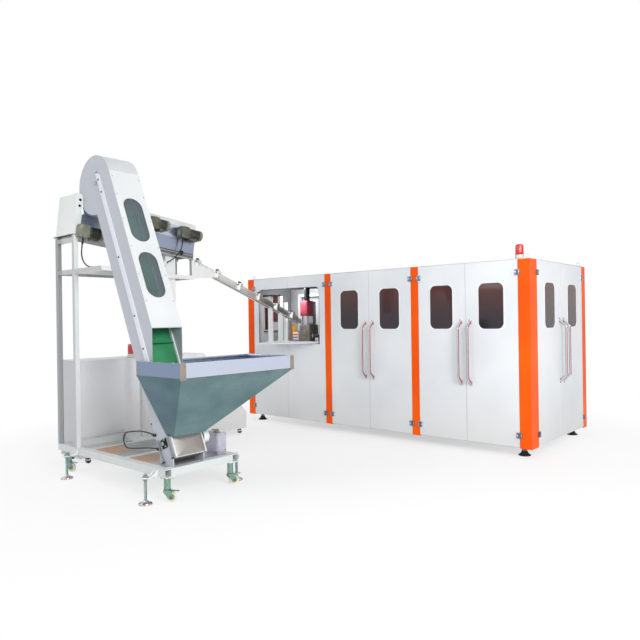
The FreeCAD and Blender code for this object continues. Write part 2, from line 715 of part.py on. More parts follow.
def set_door(thing, place, turned_end):
    """Stand a door piece at its hinge edge, on the front or on the right end."""
    if turned_end:
        thing.Placement = FreeCAD.Placement(FreeCAD.Vector(),
                                            FreeCAD.Rotation(FreeCAD.Vector(0, 0, 1), 90))
    for letter, text in zip("xyz", place):
        bind(thing, f"Placement.Base.{letter}", text)


def notch(name, wide, left):
    """The block that a feed door loses for the opening, with its upper corner rounded."""
    body = doc.addObject("PartDesign::Body", name)
    flat = sketch(body, "XZ_Plane", "10")
    edge = "opening_stile - door_gap" if left else "0 - (opening_stile - door_gap)"
    past = f"{wide} + 400" if left else f"{wide} - 400"
    first, last = (edge, past) if left else (past, edge)
    rounded(flat, first, "base_z + opening_low", last, "base_z + opening_high", "opening_corner")
    pad = body.newObject("PartDesign::Pad", name + "_pad")
    pad.Profile = flat
    pad.Reversed = True
    bind(pad, "Length", "door_depth + 20")
    square = box(name + "_square", (edge, past) if left else (past, edge), ("0 - 10", "60"),
                 ("base_z + opening_low", "base_z + opening_low + 2 * opening_corner"))
    return join(name + "_whole", [body, square])


DOORS = (("feed_left", "feed_leaf", 1, ("bay_feed + door_gap", "front_y", "0"), False),
         ("feed_right", "feed_leaf", -1, ("post_feed - door_gap", "front_y", "0"), False),
         ("middle_left", "middle_leaf", 1, ("bay_middle + door_gap", "front_y", "0"), False),
         ("middle_right", "middle_leaf", -1, ("post_middle - door_gap", "front_y", "0"), False),
         ("blow_left", "blow_leaf", 1, ("bay_blow + door_gap", "front_y", "0"), False),
         ("blow_right", "blow_leaf", -1, ("bay_end - door_gap", "front_y", "0"), False),
         ("end_front", "end_leaf", 1, ("right_x", "end_near + door_gap", "0"), True),
         ("end_back", "end_leaf", -1, ("right_x", "end_far - door_gap", "0"), True))
fixed_halves = []
for name, leaf, side, place, on_end in DOORS:
    feed = name.startswith("feed")
    wide = leaf if side > 0 else f"0 - {leaf}"
    shell = pan("pan_" + name, wide, not feed)
    if feed:
        shell = cut("cut_" + name, shell, notch("notch_" + name, wide, side > 0))
    pieces = [shell]
    for level in ("hinge_low", "hinge_high"):
        pieces.append(hinge_half(f"{name}_{level}_leaf", side, level, True))
        fixed = hinge_half(f"{name}_{level}_post", -side, level, False)
        carrier = group(f"{name}_{level}_fixed", [fixed])
        set_door(carrier, place, on_end)
        fixed_halves.append(carrier)
    if not feed:
        bar = f"{wide} - {side} * (handle_apart - seam_gap) / 2"
        pieces.append(handle("handle_" + name, bar))
    door = join("door_" + name + "_leaf", pieces)
    set_door(door, place, on_end)
    node(door, "door_" + name)
    if not feed:
        pane = window("pane_" + name, wide)
        set_door(pane, place, on_end)
        node(pane, "window_" + name)
node(group("hinge_posts", fixed_halves), "door_hinges")

# ---------------------------------------------------------------- signal lamps
LAMPS = (("roof", "8", "front_y + 55", "top_z + roof_sheet"),
         ("cabinet", "cabinet_face - 60", "cabinet_near + 623", "cabinet_top"))
bases, domes = [], []
for name, x, y, z in LAMPS:
    bases.append(turned(f"lamp_base_{name}", [
        ("0", "0"), ("lamp_across / 2", "0"), ("lamp_across / 2", "lamp_base - 10"),
        ("lamp_across / 2 - 6", "lamp_base"), ("0", "lamp_base")], (x, y, z)))
    domes.append(turned(f"lamp_dome_{name}", [
        ("0", "lamp_base"), ("lamp_across / 2 - 4", "lamp_base"),
        ("lamp_across / 2 - 4", "lamp_base + 12"), ("lamp_across / 2 - 8", "lamp_base + 14"),
        ("lamp_across / 2 - 11", "lamp_base + lamp_dome - 12"),
        ("lamp_across / 2 - 22", "lamp_base + lamp_dome"), ("0", "lamp_base + lamp_dome")],
        (x, y, z)))
node(group("lamp_bases", bases), "beacon_bases")
node(group("lamp_domes", domes), "beacon_domes")

# ---------------------------------------------------------------- works inside
bed_outer = box("bed_outer", ("left_x + bed_inset", "right_x - bed_inset"),
                ("bed_front", "bed_front + bed_depth"), ("base_z + base_rail", "bed_z"))
bed_inner = box("bed_inner",
                ("left_x + bed_inset + bed_wall", "right_x - bed_inset - bed_wall"),
                ("bed_front + bed_wall", "bed_front + bed_depth - bed_wall"),
                ("base_z + base_rail - 1", "bed_z - bed_top"))
node(cut("bed", bed_outer, bed_inner), "machine_bed")


def span(middle, whole):
    """Two faces either side of a middle."""
    return (f"{middle} - ({whole}) / 2", f"{middle} + ({whole}) / 2")


bar_spots = [(f"clamp_x {a} (clamp_long / 2 - 60)", f"clamp_low + {z}")
             for a in "-+" for z in ("60", "clamp_tall - 60")]
clamp = [box("clamp_sole", span("clamp_x", "clamp_long"), ("clamp_near", "clamp_far"),
             ("bed_z", "clamp_low")),
         box("clamp_front", span("clamp_x", "clamp_long"),
             ("clamp_near", "clamp_near + clamp_plate"), ("clamp_low", "clamp_high")),
         box("clamp_back", span("clamp_x", "clamp_long"),
             ("clamp_far - clamp_plate", "clamp_far"), ("clamp_low", "clamp_high")),
         box("clamp_bridge", span("clamp_x", "bridge_wide"), ("clamp_near", "clamp_far"),
             ("clamp_high", "clamp_high + 40"))]
for i, (x, z) in enumerate(bar_spots):
    clamp.append(rod(f"tie_bar{i}", "y", (x, "clamp_near + 10", z), "clamp_deep - 20", "tie_bar"))
column_spots = [f"clamp_x {a} (bridge_wide / 2 - column - 15)" for a in "-+"]
for i, x in enumerate(column_spots):
    clamp.append(rod(f"guide_column{i}", "z", (x, "bed_mid", "clamp_high + 20"), "rod_travel + 100",
                     "column"))
rod_spots = ["clamp_x - cavity_pitch", "clamp_x", "clamp_x + cavity_pitch"]
rod_holes = [rod(f"rod_hole{i}", "z", (x, "bed_mid", "clamp_high - 1"), "42", "24")
             for i, x in enumerate(rod_spots)]
node(cut("clamp", join("clamp_whole", clamp), *rod_holes), "clamp_frame")

for name, sign in (("front", "-"), ("back", "+")):
    mould = (("bed_mid - platen_face", "bed_mid - mould_open") if sign == "-"
             else ("bed_mid + mould_open", "bed_mid + platen_face"))
    plate = (("bed_mid - platen_face - platen_thick", "bed_mid - platen_face") if sign == "-"
             else ("bed_mid + platen_face", "bed_mid + platen_face + platen_thick"))
    platen = box(name + "_platen_plate", span("clamp_x", "clamp_long - 20"), plate,
                 ("clamp_low + 2", "clamp_high - 8"))
    block = box(name + "_mould_block", span("clamp_x", "mould_long"), mould,
                ("clamp_low + 60", "clamp_low + 60 + mould_tall"))
    tools = [rod(f"{name}_bar_bore{i}", "y", (x, "clamp_near", z), "clamp_deep",
                 "tie_bar + 2 * tie_fit") for i, (x, z) in enumerate(bar_spots)]
    for i, x in enumerate(rod_spots):
        face = f"bed_mid {sign} mould_open"
        tools.append(rod(f"{name}_cavity{i}", "z", (x, face, "clamp_low + 90"), "mould_tall - 60",
                         "cavity"))
        tools.append(rod(f"{name}_neck{i}", "z", (x, face, "clamp_low + mould_tall - 1"), "80",
                         "bottle_neck"))
    node(cut(name + "_half", join(name + "_platen_whole", [platen, block]), *tools),
         name + "_platen")

stretch = [box("stretch_plate", span("clamp_x", "bridge_wide - 20"), span("bed_mid", "120"),
               ("clamp_high + 60 + rod_travel", "clamp_high + 90 + rod_travel"))]
for i, x in enumerate(rod_spots):
    stretch.append(rod(f"stretch_rod{i}", "z", (x, "bed_mid", "clamp_high + 10"),
                       "rod_travel + 60", "14"))
stretch_bores = [rod(f"column_bore{i}", "z", (x, "bed_mid", "clamp_high"), "rod_travel + 200",
                     "column + 2 * tie_fit") for i, x in enumerate(column_spots)]
node(cut("stretch", join("stretch_whole", stretch), *stretch_bores), "stretch_carriage")

oven_x = span("oven_x", "oven_long")
oven_y = ("bed_mid - oven_deep / 2", "bed_mid + oven_deep / 2")
oven = [box("oven_floor", oven_x, oven_y, ("bed_z", "bed_z + 30")),
        box("oven_front", oven_x, (oven_y[0], f"{oven_y[0]} + oven_wall"),
            ("bed_z + 30", "bed_z + oven_tall")),
        box("oven_back", oven_x, (f"{oven_y[1]} - oven_wall", oven_y[1]),
            ("bed_z + 30", "bed_z + oven_tall")),
        box("oven_hood", oven_x, oven_y, ("bed_z + oven_tall", "bed_z + oven_tall + 60")),
        box("oven_fan", span("oven_x", "360"), span("bed_mid", "240"),
            ("bed_z + oven_tall + 60", "bed_z + oven_tall + 150"))]
for i in range(6):
    oven.append(rod(f"oven_lamp{i}", "x", (oven_x[0], "bed_mid + oven_deep / 2 - oven_wall - 30",
                                          f"bed_z + 90 + {i} * 70"), "oven_long", "lamp_tube"))
for i, x in enumerate((f"{oven_x[0]}", f"{oven_x[1]} - 20")):
    oven.append(box(f"oven_lamp_holder{i}", (x, f"{x} + 20"),
                    ("bed_mid + oven_deep / 2 - oven_wall - 50",
                     "bed_mid + oven_deep / 2 - oven_wall"),
                    ("bed_z + 30", "bed_z + 480")))
node(join("oven_whole", oven), "oven")

# infeed: a gearbox, a column with a red housing and its motor, valves and a guard rail
infeed = [box("infeed_box", ("-3267", "-3076"), ("infeed_y", "infeed_y + 190"),
              ("bed_z", "bed_z + 241")),
          box("infeed_column", ("-3230", "-3116"), ("infeed_y + 120", "infeed_y + 190"),
              ("bed_z + 241", "bed_z + 563")),
          box("infeed_housing", ("-3241", "-3105"), ("infeed_y", "infeed_y + 120"),
              ("bed_z + 363", "bed_z + 573")),
          rod("infeed_motor", "z", ("-3165", "infeed_y + 60", "bed_z + 573"), "90", "80"),
          box("infeed_valves", ("-3384", "-3291"), ("infeed_y", "infeed_y + 110"),
              ("bed_z", "bed_z + 157")),
          box("infeed_bracket", ("-3490", "-3400"), ("infeed_y + 60", "infeed_y + 90"),
              ("bed_z", "bed_z + 230")),
          box("infeed_guard_post", ("-3560", "-3520"), ("infeed_y", "infeed_y + 40"),
              ("bed_z", "bed_z + 560")),
          box("infeed_guard_post_right", ("-2880", "-2840"), ("infeed_y + 300", "infeed_y + 340"),
              ("bed_z", "bed_z + 640")),
          box("infeed_guard_beam", ("-3560", "-2840"), ("infeed_y + 300", "infeed_y + 340"),
              ("bed_z + 640", "bed_z + 690")),
          box("infeed_guard_post_left", ("-3560", "-3520"), ("infeed_y + 300", "infeed_y + 340"),
              ("bed_z", "bed_z + 640")),
          rod("infeed_cylinder", "x", ("-3060", "infeed_y + 60", "bed_z + 90"), "260", "50"),
          box("infeed_cylinder_foot", ("-3000", "-2940"), ("infeed_y + 30", "infeed_y + 90"),
              ("bed_z", "bed_z + 66"))]
node(group("infeed", infeed), "infeed_drive")

# ---------------------------------------------------------------- infeed shelf and chute
def under_chute(y):
    """Level of the chute's underside over a place in Y."""
    return f"(chute_z - rail_tall / 2 / chute_cos - 0.8 - (({y}) - chute_y) / turn_cos * chute_tan)"


def chute_middle(y):
    """X of the chute's middle line over a place in Y."""
    return f"(chute_x - (({y}) - chute_y) * turn_sin / turn_cos)"


shelf_plate = prism("shelf_plate", "XY_Plane", "shelf_low", "shelf_top", [
    ("-3700", "bed_front + 15"), ("-3700", "front_y + 45"), ("-3420", "front_y - 10"),
    ("-3420", "front_y - 400"), ("-3080", "front_y - 400"), ("-2665", "front_y - 5"),
    ("-2665", "bed_front + 15")])
shelf = [shelf_plate, box("shelf_packer", ("-3700", "-2665"), ("bed_front", "bed_front + 15"),
                          ("bed_z", "shelf_low"))]
for i, y in enumerate(("front_y - 342", "front_y - 138")):
    x = chute_middle(y)
    shelf.append(prism(f"shelf_post{i}", "YZ_Plane", f"{x} - 20", f"{x} + 20", [
        (f"{y} - 20", "shelf_top"), (f"{y} + 20", "shelf_top"),
        (f"{y} + 20", under_chute(f"{y} + 20")), (f"{y} - 20", under_chute(f"{y} - 20"))]))
    shelf.append(box(f"shelf_post_foot{i}", (f"{x} - 45", f"{x} + 45"), (f"{y} - 30", f"{y} + 30"),
                     ("shelf_top", "shelf_top + 8")))
node(join("shelf", shelf), "infeed_shelf")

rails = []
for name, low, high in (("near", "0 - rail_between / 2 - rail_thick", "0 - rail_between / 2"),
                        ("far", "rail_between / 2", "rail_between / 2 + rail_thick")):
    rails.append(box(f"chute_rail_{name}", ("0", "chute_long"), (low, high),
                     ("0 - rail_tall / 2", "rail_tall / 2")))
    lip = (f"{low} - 18", low) if name == "near" else (high, f"{high} + 18")
    rails.append(box(f"chute_lip_{name}", ("0", "chute_long"), lip,
                     ("0 - rail_tall / 2", "rail_thick - rail_tall / 2")))
brackets = []
for i, x in enumerate(("30", "360", "760", "1130", "1500", "chute_long - 250")):
    for name, y in (("near", ("0 - rail_between / 2 - rail_thick - 30",
                              "0 - rail_between / 2 - rail_thick")),
                    ("far", ("rail_between / 2 + rail_thick",
                             "rail_between / 2 + rail_thick + 30"))):
        brackets.append(box(f"chute_clamp{i}_{name}", (x, f"{x} + 40"), y,
                            ("rail_thick - rail_tall / 2", "rail_tall / 2 + 25")))
    brackets.append(box(f"chute_bridge{i}", (x, f"{x} + 40"),
                        ("0 - rail_between / 2 - rail_thick - 30",
                         "rail_between / 2 + rail_thick + 30"),
                        ("rail_tall / 2 + 25", "rail_tall / 2 + 33")))
    brackets.append(rod(f"chute_knob{i}", "z", (f"{x} + 20", "0", "rail_tall / 2 + 33"), "26", "22"))
keeper = box("chute_keeper", ("60", "chute_long - 60"), ("0 - 6", "6"),
             ("rail_tall / 2 + 13", "rail_tall / 2 + 25"))
rails.append(keeper)
chute = join("chute_whole", rails + brackets)
set_chute(chute)
node(chute, "chute_rails")

# ---------------------------------------------------------------- loader base and tower
CASTERS = (("near_right", "loader_right - 45", "tower_near + 50", 41),
           ("near_left", "tower_left + 110", "tower_near + 50", 20),
           ("far_right", "loader_right - 45", "loader_far - 50", 75),
           ("far_left", "tower_left + 110", "loader_far - 50", 50))
tube_z = ("loader_level", "loader_top")
base = [tube("base_near", "x", ("tower_left", "loader_right"),
             ("tower_near", "tower_near + loader_tube"), tube_z, "tube_wall"),
        tube("base_far", "x", ("tower_left", "loader_right"),
             ("loader_far - loader_tube", "loader_far"), tube_z, "tube_wall")]
for i, x in enumerate(("tower_left", "deck_left", "loader_right - loader_tube")):
    base.append(tube(f"base_cross{i}", "y", (x, f"{x} + loader_tube"),
                     ("tower_near + loader_tube", "loader_far - loader_tube"), tube_z,
                     "tube_wall"))
deck = box("deck", ("deck_left", "loader_right"), ("tower_near", "loader_far"),
           ("loader_top", "deck_z"))
base.append(deck)
for name, x, y, turn in CASTERS:
    base.append(box(f"caster_plate_{name}", (f"{x} - 45", f"{x} + 45"), (f"{y} - 38", f"{y} + 38"),
                    ("loader_level - 8", "loader_level")))
node(join("loader_frame", base), "loader_base")


def under_sorter(y, depth="0"):
    """Level under the sloping sorter over a place in Y."""
    return f"(sorter_z - ({depth}) / fall_cos - (({y}) - sorter_y) * fall_sin / fall_cos)"


def post(name, x, y, z_low, depth):
    """An upright tube whose top is cut to the sorter's slope."""
    tops = [under_sorter(edge, depth) for edge in y]
    outer = prism(name + "_outer", "YZ_Plane", x[0], x[1],
                  [(y[0], z_low), (y[1], z_low), (y[1], tops[1]), (y[0], tops[0])])
    inner = box(name + "_bore", (f"{x[0]} + tube_wall", f"{x[1]} - tube_wall"),
                (f"{y[0]} + tube_wall", f"{y[1]} - tube_wall"), (f"{z_low} - 1", tops[0]))
    return cut(name, outer, inner)


left_span = ("tower_left", "tower_left + tower_tube")
right_span = ("tower_right", "tower_right + tower_tube")
near_span = ("tower_near", "tower_near + tower_tube")
far_span = ("tower_far", "tower_far + tower_tube")
mid_z = ("tower_mid", "mid_top")
tower = [post("tower_near_left", left_span, near_span, "loader_top", "6"),
         post("tower_near_right", right_span, near_span, "loader_top", "6"),
         post("tower_far_left", left_span, far_span, "mid_top", "0"),
         post("tower_far_right", right_span, far_span, "mid_top", "0"),
         tube("tower_top", "x", ("tower_left + tower_tube", "tower_right"), near_span,
              ("sorter_z - 70", "sorter_z - 30"), "tube_wall"),
         tube("tower_mid_near", "x", ("tower_left + tower_tube", "tower_right"), near_span, mid_z,
              "tube_wall"),
         tube("tower_mid_left", "y", left_span,
              ("tower_near + tower_tube", "tower_far + tower_tube"), mid_z, "tube_wall"),
         tube("tower_mid_right", "y", right_span,
              ("tower_near + tower_tube", "tower_far + tower_tube"), mid_z, "tube_wall"),
         tube("tower_mid_far", "x", ("tower_left + tower_tube", "tower_right"), far_span, mid_z,
              "tube_wall"),
         tube("tower_leg", "z", right_span, ("loader_far - 50", "loader_far - 10"),
              ("loader_top", "tower_mid"), "tube_wall")]
back_low = "tail_x - (tower_mid - tail_z) * lean_sin / lean_cos"
back_high = "tail_x - (mid_top - tail_z) * lean_sin / lean_cos"
tower.append(prism("tower_brace", "XZ_Plane", "tower_near", "tower_near + tower_tube", [
    ("tower_right + tower_tube", "tower_mid"), (back_low, "tower_mid"),
    (back_high, "mid_top"), ("tower_right + tower_tube", "mid_top")]))
tower.append(prism("tower_lug", "XZ_Plane", "tower_near + tower_tube", "lift_near + 90", [
    (f"{back_low} - 70", "tower_mid"), (back_low, "tower_mid"),
    (back_high, "mid_top"), (f"{back_low} - 70", "mid_top")]))
# a duct under the kick wheel that drops rejected preforms, and a gusset that holds the chute
duct_x, duct_y = ("tower_right - 130", "tower_right"), ("sorter_y + 1027", "sorter_y + 1152")
duct_bore = [f"{duct_y[0]} + tube_wall", f"{duct_y[1]} - tube_wall"]
tower.append(box("cord_clip_near", ("-2639", "-2615"), ("tower_near + tower_tube", "-3198"),
                 ("mid_top - 20", "mid_top + 14")))
tower.append(box("cord_arm_upright", ("tower_right + tower_tube", "tower_right + tower_tube + 6"),
                 ("-2354", "-2322.4"), ("tower_mid", "2042")))
tower.append(box("cord_arm", ("tower_right + tower_tube", "-2795"), ("-2354", "-2322.4"),
                 ("2000", "2042")))
duct = cut("duct", prism("duct_outer", "YZ_Plane", *duct_x, [
    (duct_y[0], "tower_mid - 370"), (duct_y[1], "tower_mid - 370"),
    (duct_y[1], under_sorter(duct_y[1], "2")), (duct_y[0], under_sorter(duct_y[0], "2"))]),
    box("duct_bore", ("tower_right - 130 + tube_wall", "tower_right - tube_wall"), duct_bore,
        ("tower_mid - 371", "sorter_z + 50")))
tower.append(duct)
chute_span = ("tower_far + tower_tube", "tower_far + tower_tube + 290")
tower.append(prism("gusset", "YZ_Plane", "tower_right + tower_tube - 5", "tower_right + tower_tube", [
    (chute_span[0], "mid_top - 30"), (chute_span[1], "mid_top - 8"),
    (chute_span[1], under_chute(chute_span[1])), ("chute_y + 15", under_chute("chute_y + 15")),
    (chute_span[0], under_chute("chute_y + 15"))]))
arm_reach = "(tower_right + tower_tube - 1 - chute_x + 60 * turn_sin * chute_cos) / turn_cos"
gusset_arm = group("gusset_arm_set", [
    box("gusset_arm", ("60", "100"), (f"0 - {arm_reach}", "60"),
        ("0 - rail_tall / 2 - 24.3", "0 - rail_tall / 2 - 0.3"))])
set_chute(gusset_arm)
tower.append(gusset_arm)
node(join("tower", tower), "tower_frame")

stand_outline = [("0", "0"), ("stand_disk / 2", "0"), ("stand_disk / 2", "14"),
                 ("stand_disk / 4", "30"), ("stand_stud / 2", "34"),
                 ("stand_stud / 2", "loader_level + 40"), ("0", "loader_level + 40")]
stands = []
for name, x, y, arm in (
        ("near_right", "loader_right - 125", "tower_near - 95", ("tower_near - 95", "tower_near")),
        ("near_left", "tower_left + 356", "tower_near - 95", ("tower_near - 95", "tower_near")),
        ("far_right", "loader_right - 117", "loader_far + 85", ("loader_far", "loader_far + 85"))):
    stud = turned(f"stand_{name}", stand_outline, (x, y, "0"))
    arm_plate = box(f"stand_arm_{name}", (f"{x} - 30", f"{x} + 30"), arm,
                    ("loader_level", "loader_level + 8"))
    wall = ("tower_near - 5", "tower_near") if "near" in name else ("loader_far", "loader_far + 5")
    cheek = box(f"stand_cheek_{name}", (f"{x} - 30", f"{x} + 30"), wall,
                ("loader_level", "loader_level + 50"))
    nut = rod(f"stand_nut_{name}", "z", (x, y, "loader_level + 8"), "14", "40")
    tip = box(f"stand_tip_{name}", (f"{x} - 30", f"{x} + 30"), (f"{y} - 30", f"{y} + 30"),
              ("loader_level", "loader_level + 8"))
    stands.append(join(f"stand_{name}_whole", [stud, arm_plate, cheek, nut, tip]))
node(group("stands", stands), "loader_feet")

# casters: a fork that swivels under a top plate, and a wheel in it
for name, x, y, turn in CASTERS:
    spin = FreeCAD.Placement(FreeCAD.Vector(), FreeCAD.Rotation(FreeCAD.Vector(0, 0, 1), turn))
    crown = "wheel_z + caster_wheel / 2 + 6"
    cheeks = []
    for side, low, high in (("a", "0 - fork_leg - 4", "0 - fork_leg"),
                            ("b", "fork_leg", "fork_leg + 4")):
        cheeks.append(prism(f"caster_{name}_cheek_{side}", "XZ_Plane", low, high, [
            ("caster_trail - 14", "wheel_z - 14"), ("caster_trail + 14", "wheel_z - 14"),
            ("caster_trail + 16", "wheel_z + 10"), ("34", f"{crown} + 6"), ("0 - 30", f"{crown} + 6"),
            ("0 - 24", f"{crown} - 12")]))
    crown_plate = box(f"caster_{name}_crown", ("0 - 30", "34"), ("0 - fork_leg", "fork_leg"),
                      (crown, f"{crown} + 6"))
    swivel = rod(f"caster_{name}_swivel", "z", ("0", "0", f"{crown} + 6"),
                 f"loader_level - ({crown} + 6) - 8.3", "52")
    axle = rod(f"caster_{name}_axle", "y", ("caster_trail", "0 - fork_leg - 8", "wheel_z"),
               "2 * fork_leg + 16", "12")
    pedal = box(f"caster_{name}_pedal", ("caster_trail + 20", "caster_trail + 62"), ("0 - 14", "14"),
                (f"{crown} - 2", f"{crown} + 4"))
    pedal_arm = box(f"caster_{name}_pedal_arm", ("30", "caster_trail + 24"), ("0 - 14", "14"),
                    (f"{crown} - 2", f"{crown} + 6"))
    fork = join(f"caster_{name}_fork_whole", cheeks + [crown_plate, swivel, axle, pedal, pedal_arm])
    fork.Placement = spin
    bind(fork, "Placement.Base.x", x)
    bind(fork, "Placement.Base.y", y)
    node(fork, f"caster_fork_{name}")
    tread = rod(f"caster_{name}_tread", "y", ("caster_trail", "0 - caster_wide / 2", "wheel_z"),
                "caster_wide", "caster_wheel")
    hub = rod(f"caster_{name}_hub", "y", ("caster_trail", "0 - fork_leg + 0.5", "wheel_z"),
              "2 * fork_leg - 1", "32")
    bore = rod(f"caster_{name}_bore", "y", ("caster_trail", "0 - 40", "wheel_z"), "80",
               "12 + 2 * shaft_fit")
    wheel = cut(f"caster_{name}_wheel_whole", join(f"caster_{name}_wheel_solid", [tread, hub]), bore)
    wheel.Placement = spin
    bind(wheel, "Placement.Base.x", x)
    bind(wheel, "Placement.Base.y", y)
    node(wheel, f"caster_wheel_{name}")

# ---------------------------------------------------------------- elevator
near, far = "lift_near", "lift_far"


def lift_outline(edge):
    """Outline of the elevator casing, drawn in by the edge distance."""
    back = "spout_low - 60"
    low_back = up_lift(edge, edge)
    low_front = up_lift(edge, f"lift_low_front - {edge}")
    lip = up_lift("mouth_low_u", f"lift_low_front - {edge}")
    mouth = up_lift("mouth_u", f"lift_front - {edge}")
    top = up_lift("head_run", f"lift_front - {edge}")
    crown = up_lift("head_run", "head_v")
    return [low_back, low_front, lip, mouth, top, crown, (f"spout_left + {edge}", "head_z"),
            (f"spout_left + {edge}", "spout_low"), ("spout_left + 120", "spout_low"),
            (f"tail_x - ({back} - tail_z) * lean_sin / lean_cos + {edge} / lean_cos", back)]


casing_outer = prism("casing_outer", "XZ_Plane", near, far, lift_outline("0"))
casing_head = rod("casing_head", "y", ("head_x", near, "head_z"), "lift_width", "2 * head_radius")
casing_inner = prism("casing_inner", "XZ_Plane", f"{near} + lift_sheet", f"{far} - lift_sheet",
                     lift_outline("lift_sheet"))
casing_head_inner = rod("casing_head_inner", "y", ("head_x", f"{near} + lift_sheet", "head_z"),
                        "lift_width - 2 * lift_sheet", "2 * (head_radius - lift_sheet)")
inside_y = (f"{near} + lift_sheet", f"{far} - lift_sheet")
spout_open = box("casing_spout", ("spout_left + lift_sheet", "spout_left + 117"), inside_y,
                 ("spout_low - 5", "spout_low + 120"))
front_open = prism("casing_front", "XZ_Plane", *inside_y, [
    up_lift("170", "lift_low_front - 20"), up_lift("170", "lift_low_front + 60"),
    up_lift("mouth_u", "lift_front + 40"), up_lift("mouth_u - 6", "lift_front - 20"),
    up_lift("mouth_low_u - 6", "lift_low_front - 20")])
cover_open = prism("casing_cover", "XZ_Plane", *inside_y, [
    up_lift("mouth_u + 30", "lift_front - 20"), up_lift("mouth_u + 30", "lift_front + 20"),
    up_lift("head_run - 200", "lift_front + 20"), up_lift("head_run - 200", "lift_front - 20")])
shaft_holes = []
for name, along in (("low", "drum_low_u"), ("high", "head_run")):
    x, z = up_lift(along, "drum_v")
    shaft_holes.append(rod(f"casing_shaft_{name}", "y", (x, f"{near} - 1", z), "lift_width + 2",
                           "drum_shaft + 2 * shaft_fit"))
casing = cut("casing", join("casing_solid", [casing_outer, casing_head]),
             casing_inner, casing_head_inner, spout_open, front_open, cover_open, *shaft_holes)
casing_extra = []
for name, y in (("near", (f"{near} - 10", near)), ("far", (far, f"{far} + 10"))):
    casing_extra.append(prism(f"side_rail_{name}", "XZ_Plane", y[0], y[1], [
        up_lift("mouth_low_u - 120", "150"), up_lift("mouth_low_u - 120", "188"),
        up_lift("head_run - 60", "188"), up_lift("head_run", "150")]))
for name, y in (("near", (near, f"{near} + 6")), ("far", (f"{far} - 6", far))):
    casing_extra.append(prism(f"tail_stand_{name}", "XZ_Plane", y[0], y[1], [
        ("tail_x - 40", "deck_z"), ("tail_x + 150", "deck_z"),
        up_lift("80", "lift_low_front - 10"), up_lift("80", "0")]))
for name, x, z in (("high", "-1763", "494"), ("low", "-1707.3", "388")):
    casing_extra.append(box(f"tail_cord_clip_{name}", (x, f"{x} + 26"), (f"{near} - 18", near),
                            (f"{z} - 13", f"{z} + 13")))
node(join("casing_whole", [casing] + casing_extra), "elevator_casing")

# front cover with two long windows; the clear panes lie in it
cover = doc.addObject("PartDesign::Body", "cover_sheet")
cover_flat = sketch(cover, "YZ_Plane", "lift_front")
polygon(cover_flat, [("0", "mouth_u"), ("lift_width", "mouth_u"), ("lift_width", "head_run - 20"),
                     ("0", "head_run - 20")])
cover_pad = cover.newObject("PartDesign::Pad", "cover_pad")
cover_pad.Profile = cover_flat
bind(cover_pad, "Length", "lift_sheet")
ports, glasses = [], []
for i in range(2):
    foot = f"(port_low + {i} * port_step)"
    port = sketch(cover, "YZ_Plane", "lift_front - 5")
    rounded(port, "lift_width / 2 - port_wide / 2", foot, "lift_width / 2 + port_wide / 2",
            f"{foot} + port_tall", "port_corner")
    hole = cover.newObject("PartDesign::Pocket", f"cover_port{i}")
    hole.Profile = port
    hole.Type = 1
    hole.Midplane = True
    glass = doc.addObject("PartDesign::Body", f"cover_glass{i}")
    flat = sketch(glass, "YZ_Plane", "lift_front - 3")
    rounded(flat, "lift_width / 2 - port_wide / 2 - port_lap", f"{foot} - port_lap",
            "lift_width / 2 + port_wide / 2 + port_lap", f"{foot} + port_tall + port_lap",
            "port_corner + port_lap")
    pad = glass.newObject("PartDesign::Pad", f"cover_glass{i}_pad")
    pad.Profile = flat
    bind(pad, "Length", "3")
    glasses.append(glass)
set_lift(cover)
node(cover, "elevator_cover")
lift_panes = group("lift_panes", glasses)
set_lift(lift_panes)
node(group("fixed_panes", [end_pane, lift_panes]), "fixed_panes")

# belt, cleats and drums, made upright and then leaned
belt_y = ("10", "lift_width - 10")


def belt_loop(name, radius, y):
    """The space inside a belt of a given radius round both drums."""
    return join(name, [
        box(name + "_run", (f"drum_v - ({radius})", f"drum_v + {radius}"), y,
            ("drum_low_u", "head_run")),
        rod(name + "_low", "y", ("drum_v", y[0], "drum_low_u"), f"({y[1]}) - ({y[0]})",
            f"2 * ({radius})"),
        rod(name + "_high", "y", ("drum_v", y[0], "head_run"), f"({y[1]}) - ({y[0]})",
            f"2 * ({radius})")])


belt_ring = cut("belt_ring", belt_loop("belt_outside", "drum / 2 + 0.3 + belt", belt_y),
                belt_loop("belt_inside", "drum / 2 + 0.3", ("5", "lift_width - 5")))
cleats = []
for i in range(9):
    foot = f"drum_low_u + 80 + {i} * cleat_pitch"
    for side, x in (("up", ("drum_v + drum / 2 + belt", "drum_v + drum / 2 + belt + cleat_tall")),
                    ("down", ("drum_v - drum / 2 - belt - cleat_tall",
                              "drum_v - drum / 2 - belt"))):
        cleats.append(box(f"cleat_{side}{i}", x, ("16", "lift_width - 16"), (foot, f"{foot} + 6")))
belt_whole = join("belt_whole", [belt_ring] + cleats)
set_lift(belt_whole)
node(belt_whole, "elevator_belt")

for name, along in (("head", "head_run"), ("tail", "drum_low_u")):
    shell = rod(f"{name}_drum_shell", "y", ("drum_v", "14", along), "lift_width - 28", "drum")
    reach = "lift_width + 40" if name == "head" else "lift_width + 19.7"
    shaft = rod(f"{name}_drum_shaft", "y", ("drum_v", "0 - 20", along), reach, "drum_shaft")
    drum = join(f"{name}_drum_whole", [shell, shaft])
    set_lift(drum)
    node(drum, f"{name}_drum")

# ---------------------------------------------------------------- hopper


def rim(edge):
    """Corners of the hopper's rim, drawn in by the edge distance."""
    return [(f"hopper_left + {edge}", f"hopper_near + {edge}"),
            (f"hopper_right - {edge}", f"hopper_near + {edge}"),
            (f"hopper_right - {edge}", f"hopper_far - {edge}"),
            (f"hopper_left + {edge}", f"hopper_far - {edge}")]


